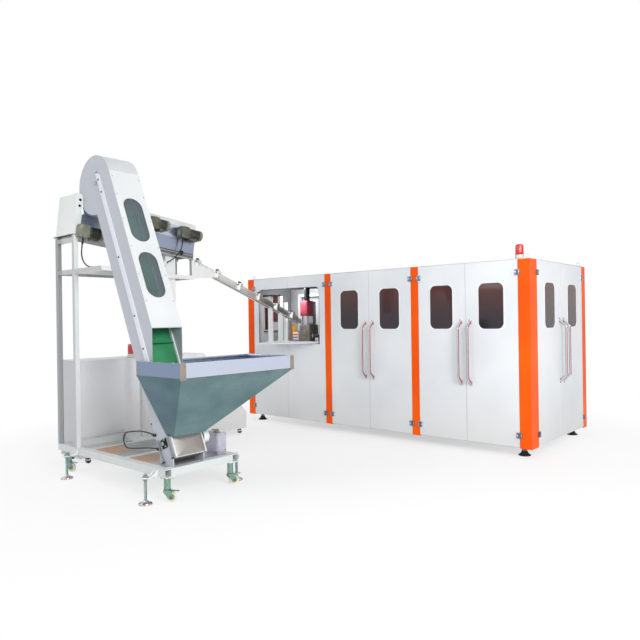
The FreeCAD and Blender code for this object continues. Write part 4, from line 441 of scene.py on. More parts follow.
def powder_coat(name, light, dark, grime=None, rough=(0.34, 0.46), shine=0.5):
    """Polyester powder coat on sheet steel: satin, a fine orange peel, sheets that differ a
    little, and a breath of dust near the floor."""
    finish, tree, shader, place = surface("powder_coated_steel_" + name, light, 0.4,
                                          Specular_IOR_Level=shine)
    mottle(tree, shader, place, light, dark, 700, rough, detail=2)
    # real orange peel is 1 to 2 mm wide: drawn 5 mm wide so that it shows
    grain(tree, shader, place, 5, 0.12, 0.35)
    if grime:
        over(tree, shader, along(tree, place, "Z", 0.12, 0.75, 0.38, 0.0), grime)
    return finish


def ground_steel(name, light, dark, rough, stretch=(1, 1, 1), size=0.9):
    """Sheet ground with a belt: long hairlines, brighter and duller in turn. Real lines are
    0.1 mm wide and are drawn about 1 mm wide. A plated part has a cloud and no lines."""
    finish, tree, shader, place = surface(name, light, sum(rough) / 2, 1.0)
    relief(tree, shader, mottle(tree, shader, place, light, dark, size, rough, stretch, 2.0),
           0.04, 0.3)
    return finish


ALONG_XY, ALONG_Y, ALONG_Z = (0.02, 0.02, 1.0), (1.0, 0.03, 1.0), (1.0, 1.0, 0.03)
# powder coats: satin and even; light and dark tone, and the dust near the floor
POWDER_COATS = (
    ("loader_white", "#E4E8E7", "#D8DCDC"), ("rail_white", "#E0E3EA", "#D8DBE3"),
    ("grey", "#8E9296", "#83878B"), ("cabinet", "#ECEDEF", "#E3E5E8", "#D2CFCA"),
    ("tower", "#E6E9E8", "#DADEDE"), ("cover", "#E2E5E6", "#D6DADC"),
    ("casing_grey", "#B6BAC3", "#ABB0BA"))
# metals: what the tool or the bath left is seen as lines or clouds; light and dark tone,
# roughness, stretch along the lines and their width in mm
METALS = {
    "chute": ("satin_stainless_rail", "#E8E8E4", "#D6D6D2", (0.3, 0.42), (1.0, 0.05, 1.0)),
    "band_steel": ("brushed_stainless_sheet", "#C9D2E2", "#B4BFD0", (0.2, 0.34), ALONG_XY),
    # the sorter's lower band: the same brushed sheet in a darker tone, painted shade under the
    # upper band
    "shade_steel": ("brushed_stainless_sheet_dull", "#A0A9BC", "#8B95A8", (0.26, 0.4), ALONG_XY),
    "flange_steel": ("mill_finish_steel_olive", "#7C8380", "#666D68", (0.34, 0.5), ALONG_Y, 1.6),
    "corner_steel": ("annealed_stainless_angle", "#B4A898", "#9C9284", (0.28, 0.42), ALONG_Z, 1.6),
    "steel": ("satin_stainless_plate", "#B9BBBD", "#9C9EA1", (0.25, 0.4), (0.05, 0.05, 1.0)),
    "plate_steel": ("cold_rolled_steel_plate", "#A9A5A2", "#98948F", (0.32, 0.48), ALONG_Z, 1.6),
    "polished": ("polished_stainless_tube", "#E2E4E6", "#CFD2D5", (0.08, 0.16), (1.0, 1.0, 0.05),
                 2.0),
    "zinc": ("blue_passivated_zinc_plate", "#A9B8B8", "#8E9F9F", (0.25, 0.42), (1, 1, 1), 9.0),
    "green_zinc": ("green_passivated_zinc_plate", "#93B3A5", "#789A8B", (0.28, 0.44), (1, 1, 1),
                   9.0),
    "dark_zinc": ("dark_zinc_plated_steel", "#7E8290", "#5C606E", (0.28, 0.42), (1, 1, 1), 6.0),
    "black_bolt": ("black_oxide_steel", "#3B3C40", "#2A2B2E", (0.35, 0.5), (1, 1, 1), 3.0),
    "chrome": ("chromed_steel", "#C9CDD2", "#B6BBC2", (0.06, 0.14), (1, 1, 1), 12.0),
    "aluminium": ("machined_aluminium", "#C4C6C8", "#B2B5B8", (0.28, 0.4), ALONG_Y, 1.4),
}
# painted sand castings: satin paint over a grain of about 1.5 mm, drawn 3 mm, looks pitted
CASTINGS = {
    "motor": ("painted_cast_aluminium_olive", "#8B8D7B", "#6E7062"),
    "motor_case": ("painted_cast_aluminium_moss", "#626455", "#4A4C40"),
    "motor_can": ("painted_cast_aluminium_dark", "#4A4C44", "#363831"),
    "red_cast": ("painted_cast_iron_red", "#C25062", "#A83C50"),
    "brown_cast": ("painted_cast_iron_stone", "#857F75", "#6D675E"),
}
# moulded plastics and rubbers: a spark-eroded grain and uneven gloss; light and dark tone,
# roughness, grain width and depth in mm
PLASTICS = {
    "rubber": ("moulded_nitrile_rubber", "#232427", "#191A1C", (0.55, 0.75), 2.5, 0.1),
    "jacket": ("pvc_cable_jacket", "#26282C", "#1B1D20", (0.4, 0.52), 3.0, 0.05),
    "beige": ("abs_beige", "#DBD9C8", "#CDCBB8", (0.35, 0.45), 2.0, 0.04),
    "cream": ("cast_polyurethane_cream", "#E9EAC9", "#DAD9B2", (0.3, 0.42), 3.0, 0.06),
    "box": ("polycarbonate_light_grey", "#BDBBC9", "#B1AFBE", (0.34, 0.44), 2.0, 0.05),
    "ivory": ("acetal_ivory", "#E6E0CE", "#D8D1BC", (0.3, 0.4), 2.0, 0.03),
    "gasket": ("silicone_gasket_white", "#F4F6F7", "#E9ECEE", (0.5, 0.62), 2.0, 0.05),
    "dark_gasket": ("epdm_gasket_dark_grey", "#4A4C52", "#3A3C42", (0.5, 0.62), 2.0, 0.05),
    "shutter": ("pvc_strip_curtain_red_brown", "#6E2A1C", "#5A1E14", (0.25, 0.4), 30.0, 0.2),
    "dark_plastic": ("glass_filled_nylon_black", "#303236", "#222427", (0.42, 0.58), 1.6, 0.08),
    "foot_ring": ("polyurethane_orange", "#FF9E4A", "#F08C38", (0.4, 0.5), 2.0, 0.05),
    "white_plastic": ("uhmw_polyethylene_white", "#EEF0F0", "#E2E5E6", (0.4, 0.5), 3.0, 0.04),
    "blue_tube": ("polyurethane_tube_blue", "#3A5FD8", "#2E4EBC", (0.2, 0.3), 4.0, 0.02),
    "purple_tube": ("polyurethane_tube_purple", "#5B35B4", "#4A2A96", (0.2, 0.3), 4.0, 0.02),
    "red_tube": ("polyurethane_tube_red", "#C8283E", "#AC1F34", (0.2, 0.3), 4.0, 0.02),
    "amber": ("anodised_bracket_amber", "#D08A1C", "#B87614", (0.28, 0.4), 4.0, 0.03),
}


def painted_finishes(out):
    """Powder coats, with the faces and sheets that differ from the rest of their piece: some by
    their own paint, some by painted shade.
    """
    paints = bpy.context.scene.machine_paints
    out["white"] = powder_coat("white", paints.white, "#DCE1E6", "#C9C6C0")
    out["orange"] = powder_coat("orange", paints.orange, "#EE5204", None, (0.36, 0.48), 0.15)
    for key, *tones in POWDER_COATS:
        out[key] = powder_coat(key, *tones)
    # the left end's posts are grey on the face that looks into the machine
    tree, shader, place, normal = parts_of(out["orange"])
    over(tree, shader, region(tree, region(tree, X=(place, -4.1, -3.7)), X=(normal, 0.5, 1.1)),
         "#CDD0D3")
    # loader frame: the near faces of its tubes lie in the machine's shade
    tree, shader, place, normal = parts_of(out["tower"])
    over(tree, shader, along(tree, normal, "Y", -0.5, -0.9), "#BDBFC1")
    # painted shade: the loader frame is darker on every face between x -3.5 and -3.1 m, where its
    # left posts stand
    over(tree, shader, region(tree, X=(place, -3.5, -3.1)), "#9C9EA0")
    # elevator cover: the crown sheet above the lapped joint is a duller batch
    tree, shader, place, normal = parts_of(out["cover"])
    over(tree, shader, region(tree, Z=(place, 2.756, 3.4)), "#CFD2D4")
    # cabinet: painted shade on its near faces, those that point towards -Y
    tree, shader, place, normal = parts_of(out["cabinet"])
    over(tree, shader, along(tree, normal, "Y", -0.5, -0.9), "#C3C6CA")

    # elevator casing: folded side plates in light grey, the wrapped sheet over it in white
    out["elevator"], tree, shader, place = surface(
        "powder_coated_steel_elevator", "#C4C8D0", 0.36, Coat_Weight=0.2, Coat_Roughness=0.2)
    mottle(tree, shader, place, "#D2D5D7", "#C6C9CC", 420, (0.3, 0.44), detail=2)
    normal = parts_of(out["elevator"])[3]
    for side in (-1, 1):
        over(tree, shader, along(tree, normal, "Y", side * 0.6, side * 0.8), "#B6BAC3")

    # base frame: white powder coat on the tubes; the deck sheet between them is pickled steel
    # with brown protective paper left on the near part of either half
    out["deck"], tree, shader, place = surface("powder_coated_base_and_pickled_deck", "#E4E8E7",
                                               0.42)
    cloud = mottle(tree, shader, place, "#A6A8A9", "#8D8F91", 180, (0.36, 0.5))
    pickled = shader.inputs["Base Color"].links[0].from_socket
    tone = add(tree, "ShaderNodeMix", {"data_type": "RGBA", 6: (*linear("#D9DDDD"), 1),
                                       7: (*linear("#CED3D3"), 1)}, {0: cloud}).outputs[2]
    level = region(tree, Z=(place, 0.2625, 0.27))
    for low, high in ((-2.66, -2.17), (-2.1, -1.56)):
        sheet = region(tree, level, X=(place, low, high), Y=(place, -3.22, -2.6))
        paper = region(tree, sheet, X=(place, low, low + 0.3), Y=(place, -3.22, -2.98))
        plate = add(tree, "ShaderNodeMix", {"data_type": "RGBA"}, {0: sheet, 6: tone, 7: pickled})
        tree.links.new(shader.inputs["Base Color"], plate.outputs[2])
        over(tree, shader, paper, "#B48F72")
        tone = shader.inputs["Base Color"].links[0].from_socket


def metal_finishes(out):
    """Bare and plated metals, the handles' sleeves and the hopper."""
    for key, values in METALS.items():
        out[key] = ground_steel(*values)
    # the bent sleeves mirror the orange posts along one flank and a grey room along the other
    tree, shader, place, normal = parts_of(out["polished"])
    over(tree, shader, along(tree, normal, "X", 0.5, 0.8), "#B85C5E")
    over(tree, shader, along(tree, normal, "X", 0.0, -0.6), "#8C8F96")

    # hopper: bright upright band over a bowl painted a darker blue-green, a painted reflection of a
    # dark green-grey floor
    out["hopper"], tree, shader, place = surface("brushed_stainless_hopper", "#B9C3D2", 0.28, 1.0)
    normal = parts_of(out["hopper"])[3]
    mottle(tree, shader, place, "#7C9598", "#6A8589", 260, (0.24, 0.36), (0.6, 1.0, 1.6))
    band = along(tree, place, "Z", 0.9795, 0.9805)
    over(tree, shader, band, "#CCD5E6")
    # the near wall stands in the shade of the elevator and mirrors a dim room
    over(tree, shader, along(tree, normal, "Y", -0.5, -0.9), "#CDD3DC", "MULTIPLY")
    over(tree, shader, region(tree, band, Y=(normal, -1.1, -0.9)), "#CDD3DC", "MULTIPLY")
    fine = add(tree, "ShaderNodeMapping", {"Scale": ALONG_XY}, {"Vector": place}).outputs[0]
    grain(tree, shader, fine, 1 / 1.1, 0.03, 0.25, 2.0)


def moulded_finishes(out):
    """Castings, plastics, rubbers, the belt, the tinted sheets and the lens."""
    for key, (name, light, dark) in CASTINGS.items():
        out[key], tree, shader, place = surface(name, light, 0.45)
        mottle(tree, shader, place, light, dark, 60, (0.38, 0.55))
        grain(tree, shader, place, 1 / 0.33, 0.4, 0.5, 2.0)
    for key, (name, light, dark, rough, size, depth) in PLASTICS.items():
        out[key], tree, shader, place = surface(name, light, sum(rough) / 2)
        mottle(tree, shader, place, light, dark, 45, rough)
        grain(tree, shader, place, size, depth, 0.4)

    # belt: green PVC cover with a fine crossed weave, threads 1 mm apart drawn 6 mm apart
    out["belt"], tree, shader, place = surface("pvc_belt_green", "#2E8F5C", 0.5)
    mottle(tree, shader, place, "#2E945F", "#227C50", 160, (0.42, 0.6))
    warp, weft = (add(tree, "ShaderNodeTexWave", {"bands_direction": way, "Scale": 52.0},
                      {"Vector": place}).outputs["Fac"] for way in "XY")
    weave = add(tree, "ShaderNodeMath", {"operation": "MAXIMUM"}, {0: warp, 1: weft})
    relief(tree, shader, weave.outputs[0], 0.15, 0.4)

    # cast acrylic, glossy with faint scuffs: bronze in the doors, smoke grey on the elevator,
    # denser where the sheet is seen edge on
    for key, name, light, dark, cover in (
            ("tinted", "cast_acrylic_bronze", "#382A31", "#2C242D", (0.86, 0.97)),
            ("smoke", "cast_acrylic_smoke", "#74848A", "#66767C", (0.30, 0.75))):
        out[key], tree, shader, place = surface(name, light, 0.05, IOR=1.49)
        mottle(tree, shader, place, light, dark, 620, (0.03, 0.09), detail=1)
        edge = add(tree, "ShaderNodeLayerWeight", {"Blend": 0.35}).outputs["Facing"]
        alpha = add(tree, "ShaderNodeMapRange", {"To Min": cover[0], "To Max": cover[1]},
                    {"Value": edge})
        tree.links.new(shader.inputs["Alpha"], alpha.outputs[0])
        # bronze sheets: a lighter red-brown towards their top, painted light for the dark interior
        # lit through gaps above
        if key == "tinted":
            over(tree, shader, along(tree, place, "Z", 1.4, 1.8, 0.0, 0.85), "#60332D")
        else:
            over(tree, shader, region(tree, X=(place, -4.2, -3.8)), "#4A3430")

    # beacon lens: red polycarbonate, light passes and scatters in it
    out["lens"], tree, shader, place = surface("polycarbonate_red", "#F0222A", 0.12, IOR=1.58,
                                               Transmission_Weight=0.12, Coat_Weight=0.4)
    mottle(tree, shader, place, "#EE141C", "#C90C14", 40, (0.1, 0.2))


# ------------------------------------------------------------------ settings
class MachinePaints(bpy.types.PropertyGroup):
    """Colours of the painted sheet."""
    white: FloatVectorProperty(name="White", description="Powder coat of doors and panels",
                               subtype="COLOR", size=3, default=linear("#E8EBEE"), min=0, max=1)
    orange: FloatVectorProperty(name="Orange", description="Powder coat of the corner posts",
                                subtype="COLOR", size=3, default=linear("#FF6200"), min=0, max=1)


class MachineStage(bpy.types.PropertyGroup):
    """Floor, light and camera."""
    key: FloatProperty(name="Key lamp", description="Power of the large lamp at the right",
                       default=330.0, min=0, unit="POWER")
    fill: FloatProperty(name="Fill lamp", description="Power of the lamp at the left",
                        default=120.0, min=0, unit="POWER")
    cell: FloatProperty(name="Cell lamp", description="Power of the lamp behind the feed opening",
                        default=4.5, min=0, unit="POWER")
    sky: FloatProperty(name="Room light", description="Even light from all round", default=0.55,
                       min=0, max=2)
    lens: FloatProperty(name="Lens", description="Focal length on a 36 mm sensor in millimetres",
                        default=34.35, min=10, max=200)


class MachineFittings(bpy.types.PropertyGroup):
    """Sizes of the small fittings."""
    gasket: FloatProperty(name="Gasket", description="Width of the rubber round a window",
                          default=9 * MM, min=4 * MM, max=20 * MM, unit="LENGTH")
    handle: FloatProperty(name="Handle tube", description="Diameter of a handle's sleeve",
                          default=24 * MM, min=10 * MM, max=40 * MM, unit="LENGTH")
    fins: IntProperty(name="Motor fins", description="Cooling fins round a motor", default=26,
                      min=8, max=60)
    lead: FloatProperty(name="Motor lead", description="Diameter of a motor's lead",
                        default=12 * MM, min=3 * MM, max=30 * MM, unit="LENGTH")


# ------------------------------------------------------------------ stage
FLOOR_HALF = 60.0
FLOOR_MIDDLE, FLOOR_NEAR, FLOOR_FAR = (-1.9, -0.9, 0.0), 1.2, 4.6    # its tone fades to white
LAMPS = (("key", (4.6, -4.4, 3.6), (-1.0, -1.2, 1.0), 3.6),
         ("fill", (-4.5, -9.0, 4.5), (-1.6, -1.0, 1.0), 5.0),
         ("cell", (-3.3, 0.08, 1.84), (-3.25, 0.5, 1.3), 0.18))
CAMERA_PLACE = Vector((2.5161, -6.0442, 1.4102))
CAMERA_RIGHT, CAMERA_UP = Vector((0.755, 0.6555, -0.0146)), Vector((0.0107, 0.01, 0.9999))
SENSOR = 36.0


def shows_white(tree):
    """One for rays from the camera, from gloss and through glass, and nought for others."""
    path = add(tree, "ShaderNodeLightPath").outputs
    seen = path["Is Camera Ray"]
    for ray in ("Is Glossy Ray", "Is Transmission Ray"):
        seen = add(tree, "ShaderNodeMath", {"operation": "MAXIMUM"},
                   {0: seen, 1: path[ray]}).outputs[0]
    return seen


def mixed_output(tree, kind, share, first, second):
    """The tree's output: two shaders mixed by a share."""
    mix = add(tree, "ShaderNodeMixShader", None,
              {0: share, 1: first.outputs[0], 2: second.outputs[0]})
    add(tree, kind, None, {"Surface": mix.outputs[0]})


class MACHINE_OT_stage(bpy.types.Operator):
    """White floor, soft studio light and the camera"""
    bl_idname = "machine.stage"
    bl_label = "Stage, light and camera"

    def execute(self, context):
        scene = context.scene
        settings = scene.machine_stage
        plain_white = {"Color": (1, 1, 1, 1), "Strength": 1.0}
        world = bpy.data.worlds.new("studio_room")
        world.use_nodes = True
        scene.world = world
        tree = world.node_tree
        tree.nodes.clear()
        light = add(tree, "ShaderNodeBackground", {**plain_white, "Strength": settings.sky})
        white = add(tree, "ShaderNodeBackground", plain_white)
        mixed_output(tree, "ShaderNodeOutputWorld", shows_white(tree), light, white)

        mesh = bpy.data.meshes.new("studio_floor")
        mesh.from_pydata([(x * FLOOR_HALF, y * FLOOR_HALF, 0)
                          for x, y in ((-1, -1), (1, -1), (1, 1), (-1, 1))], [], [(0, 1, 2, 3)])
        floor = bpy.data.objects.new("studio_floor", mesh)
        scene.collection.objects.link(floor)
        finish = bpy.data.materials.new("painted_studio_floor")
        finish.use_nodes = True
        tree = finish.node_tree
        tree.nodes.clear()
        place = add(tree, "ShaderNodeTexCoord").outputs["Object"]
        cloud = add(tree, "ShaderNodeTexNoise", {"Scale": 3.0}, {"Vector": place})
        tone = add(tree, "ShaderNodeMapRange", {"To Min": 0.93, "To Max": 0.95},
                   {"Value": cloud.outputs["Fac"]})
        paint = add(tree, "ShaderNodeBsdfDiffuse", None, {"Color": tone.outputs[0]})
        glow = add(tree, "ShaderNodeEmission", plain_white)
        away = add(tree, "ShaderNodeVectorMath", {"operation": "DISTANCE", 1: FLOOR_MIDDLE},
                   {0: place})
        fade = add(tree, "ShaderNodeMapRange", {"From Min": FLOOR_NEAR, "From Max": FLOOR_FAR,
                                                "To Min": 0.55}, {"Value": away.outputs["Value"]})
        share = add(tree, "ShaderNodeMath", {"operation": "MULTIPLY"},
                    {0: fade.outputs[0], 1: shows_white(tree)})
        mixed_output(tree, "ShaderNodeOutputMaterial", share.outputs[0], paint, glow)
        mesh.materials.append(finish)

        for name, spot, aim, size in LAMPS:
            lamp = bpy.data.lights.new(name + "_lamp", "AREA")
            lamp.shape, lamp.size, lamp.energy = "DISK", size, getattr(settings, name)
            thing = bpy.data.objects.new(name + "_lamp", lamp)
            thing.location = spot
            thing.rotation_euler = (Vector(aim) - Vector(spot)).to_track_quat("-Z", "Y").to_euler()
            thing.visible_camera = False
            scene.collection.objects.link(thing)

        camera = bpy.data.cameras.new("photo_camera")
        camera.lens, camera.sensor_width = settings.lens, SENSOR
        thing = bpy.data.objects.new("photo_camera", camera)
        right = CAMERA_RIGHT.normalized()
        up = (CAMERA_UP - right * CAMERA_UP.dot(right)).normalized()
        turn = Matrix((right, up, right.cross(up))).transposed().to_4x4()
        thing.matrix_world = Matrix.Translation(CAMERA_PLACE) @ turn
        scene.collection.objects.link(thing)
        scene.camera = thing
        scene.view_settings.view_transform = "Standard"
        return {"FINISHED"}


# ------------------------------------------------------------------ doors
def doors():
    """Each door's name, face, hinge edge, free edge and side, read from its solid's box: the
    hinge knuckle stands 8 mm past the hinge edge."""
    for name in FRONT_DOORS + END_DOORS:
        low, high = span("door_" + name)
        way = 1 if name in END_DOORS else 0
        side = 1 if name in LEFT_HUNG else -1
        hinge, free = (low[way] + 8, high[way]) if side > 0 else (high[way] - 8, low[way])
        yield name, END if name in END_DOORS else FRONT, hinge, free, side


def ring_of(name, face):
    """Middle, width and height of a door's window, less the 15 mm that lie behind the skin."""
    low, high = span(name)
    way = 1 if face is END else 0
    return ((low[way] + high[way]) / 2, (low[2] + high[2]) / 2, high[way] - low[way] - 30,
            high[2] - low[2] - 30)


def flat_ring(middle, level, wide, tall, corner, out, steps=8):
    """A rounded rectangle as a closed path on a face, at a distance out from it."""
    return np.insert(rounded(wide, tall, corner, steps) + (middle, level), 1, out, axis=1)


def gutter(half, foot, lip, top, draw):
    """Outline of a rubber strip: upright flanks and a top drawn in at both edges."""
    return [(-half, foot), (half, foot), (half, lip), (half - draw, top), (draw - half, top),
            (-half, lip)]


class MACHINE_OT_gaskets(bpy.types.Operator):
    """Rubber round every door window, and the edge trim of the feed opening"""
    bl_idname = "machine.gaskets"
    bl_label = "Window gaskets"

    def execute(self, context):
        wide = context.scene.machine_fittings.gasket / MM / 2
        foot, head, bow = 1100, 1775, 60        # feed opening: sill, spring of the arc, its radius
        for name, face, hinge, free, side in doors():
            if name.startswith("feed"):
                edge = hinge + side * FEED_EDGE_IN
                angle = np.linspace(0, QUARTER, 9)
                arc = np.stack([edge + side * bow * (1 - np.cos(angle)), np.full(9, -1.2),
                                head + bow * np.sin(angle)], -1)
                route = [(free, -1.2, foot), (edge, -1.2, foot), *arc, (free, -1.2, head + bow)]
                make("opening_trim_" + name[5:], [sweep(gutter(3, -2.8, 1.8, 2.6, 1), route, Y)],
                     "dark_gasket", name + "_door", where=face)
                continue
            middle, level, across, tall = ring_of("window_" + name, face)
            out, inn = 2 * wide, 2 * wide - 3
            loops = [flat_ring(middle, level, across + grow, tall + grow, corner, depth)
                     for grow, corner, depth in (
                         (out, 42, -0.6), (out, 42, 1.6), (out - 2, 41, 2.6), (-inn + 2, 66, 2.6),
                         (-inn, 65, 1.6), (-inn, 65, -3.2), (out, 42, -0.6))]
            make("window_gasket_" + name, [skin(loops, close=False)], "gasket", name + "_door",
                 where=face)
            edge = sweep([(-1.8, -3.2), (1.8, -3.2), (1.8, 1.4), (-1.8, 1.4)],
                         flat_ring(middle, level, across - inn - 3, tall - inn - 3, 64, 0.2), Y,
                         True)
            make("window_seal_" + name, [edge], "dark_gasket", name + "_door", where=face)
        make("door_top_seals", [slab((-3880, -124, 1984.2), (40, -112, 1990), 1.5, 1, "x"),
                                slab((112, 40, 1984.2), (124, 1400, 1990), 1.5, 1, "y")], "gasket")
        lip = gutter(wide, -1, 1.2, 2.8, wide * 0.4)
        make("window_gasket_left_end",
             [sweep(lip, flat_ring(305, 1512.5, 350, 515, 4, 0.2, 3), Y, True)], "gasket",
             where=LEFT_END)
        return {"FINISHED"}


class MACHINE_OT_handles(bpy.types.Operator):
    """Polished sleeves over the bent handles, with an oval foot plate and two screws each"""
    bl_idname = "machine.handles"
    bl_label = "Door handles"

    def execute(self, context):
        radius = context.scene.machine_fittings.handle / MM / 2
        for name, face, hinge, free, side in doors():
            if name.startswith("feed"):
                continue
            bar = free - side * HANDLE_IN
            route = bent_path([(bar, -2, 704), (bar, 70, 776), (bar, 70, 1301), (bar, -2, 1373)],
                              10, 5)
            parts = [sweep(around(24, radius), route, X)]
            for level in (711, 1366):
                parts += [slab((bar - 15, 0, level - 31), (bar + 15, 4.5, level + 31), 15, 1.4,
                               "y"),
                          copies(cap_head(8, 3), [(bar, 4.4, level - 23), (bar, 4.4, level + 23)],
                                 Y)]
            make("handle_" + name, parts, "polished", name + "_door", where=face)
        return {"FINISHED"}


class MACHINE_OT_hinges(bpy.types.Operator):
    """Hinges: two leaves with a bright pad and screws, knuckles and a domed cap at each end of
    the pin"""
    bl_idname = "machine.hinges"
    bl_label = "Hinge screws and pins"

    def execute(self, context):
        half_tall, pin_out = 27.5, 10
        knuckles = (("post", -9.1, 8.6, -1), ("door", -27.5, -9.7, 1), ("door", 9.2, 27.0, 1))
        cap = turned([(6.4, -0.4), (6.4, 1.0), (4.6, 2.6), (2.0, 3.2)], count=16)
        leaves, plates = {"post": []}, {"post": []}
        for name, face, hinge, free, side in doors():
            leaves["door"], plates["door"] = [], []
            for level in HINGE_LEVELS:
                for half, way, reach, thick in (("post", -side, 27, 8), ("door", side, 33, 9.2)):
                    leaf = slab((hinge + way * 8.8, -0.2, level - half_tall),
                                (hinge + way * reach, thick, level + half_tall), 4, 1.2, "y")
                    pad = slab((hinge + way * 12, thick - 0.2, level - 11),
                               (hinge + way * (reach - 4), thick + 0.7, level + 11), 3, 0.5, "y")
                    spots = [(hinge + way * (reach - 10), thick - 0.2, level + up)
                             for up in (-19, 19)]
                    leaves[half].append(placed(leaf, face))
                    plates[half] += [placed(pad, face), copies(cap_head(8, 1.6), spots, Y, face)]
                for half, low, high, way in knuckles:
                    barrel = turned([(7.6, 0), (8.4, 0.8), (8.4, high - low - 0.8),
                                     (7.6, high - low)], (hinge, pin_out, level + low), Z, 24)
                    tab = slab((hinge, 2, level + low), (hinge + side * way * 10, 8, level + high),
                               1, 0.6, "y")
                    leaves[half] += [placed(barrel, face), placed(tab, face)]
                for end in (-1, 1):
                    plates["post"].append(copies(cap, [(hinge, pin_out, level + end * 27.6)],
                                                 Z * end, face))
            make("hinge_leaves_" + name, leaves["door"], "dark_zinc", name + "_door")
            make("hinge_plates_" + name, plates["door"], "chrome", name + "_door")
        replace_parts(make("hinge_leaves_posts", leaves["post"], "dark_zinc"), "door_hinges")
        make("hinge_plates_posts", plates["post"], "chrome")
        return {"FINISHED"}


# ------------------------------------------------------------------ enclosure
def fluted(profile, centre, waves, count):
    """A round piece whose wall is a radius plus a swell times the cosine of so many times the
    angle, for a profile of (radius, swell, height)."""
    turn = around(count)
    wave = np.cos(waves * np.linspace(0, TURN, count, endpoint=False))[:, None]
    return skin([np.insert((radius + swell * wave) * turn, 2, height, axis=1) + centre
                 for radius, swell, height in profile])


class MACHINE_OT_beacons(bpy.types.Operator):
    """Red signal lamps: a fluted lens, its two seals and the screws of the base"""
    bl_idname = "machine.beacons"
    bl_label = "Signal lamps"

    def execute(self, context):
        profile = [(39.6, 45), (40, 47), (40, 56), (40.6, 58.5), (41.4, 60), (41.4, 70), (41, 90),
                   (40.4, 112), (39.6, 131), (37.6, 138.6), (33, 143.6), (26, 146.4), (12, 147)]
        # flutes 0.8 mm deep, on the upright wall only
        profile = [(radius - 0.4, 0.4, height) if 60 <= height <= 139 else (radius, 0, height)
                   for radius, height in profile]
        lenses, seals, screws = [], [], []
        for x, y, z in ((8, -75, 1993), (-3305, -2427, 1034)):
            lenses.append(fluted(profile, (x, y, z), 36, 144))
            for rim in ([(42, 43.6), (42.6, 45), (42.6, 46.6), (40.6, 47.6), (39, 47.6)],
                        [(45, 0), (45.4, 1), (45.4, 3), (44.4, 4)]):
                seals.append(turned(rim, (x, y, z), Z, 48))
            screws.append(copies(cap_head(7, 3), [
                (x + 44.2 * math.cos(a), y + 44.2 * math.sin(a), z + 20)
                for a in (0.6, 2.7, 4.8)], Z))
        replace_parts(make("beacon_lenses", lenses, "lens", angle=50), "beacon_domes")
        make("beacon_seals", seals, "rubber")
        make("beacon_screws", screws, "chrome")
        return {"FINISHED"}


class MACHINE_OT_feet(bpy.types.Operator):
    """Machine feet: a bell of moulded rubber, a hexagon nut and a threaded stud"""
    bl_idname = "machine.feet"
    bl_label = "Machine feet"

    def execute(self, context):
        spots = corners((-3840, 0), (0, 1400), 0, 2)
        bell = turned([(60, 0), (62, 1.5), (62, 6), (60, 9.5), (53, 13), (44, 19), (37, 28),
                       (32, 38), (30, 45), (27, 48), (20, 48)], count=48)
        stud = [turned(thread(11, 63, 90, depth=0.9), count=20),
                standing(hex_head(46, 16, 50), (0, 0, 47.5)),
                standing(hex_head(40, 12, 46), (0, 0, 76))]
        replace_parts(make("machine_foot_pads", [standing(bell, *spots)], "rubber"), "machine_feet")
        make("machine_foot_studs", [standing(combine(stud), *spots)], "dark_zinc")
        return {"FINISHED"}


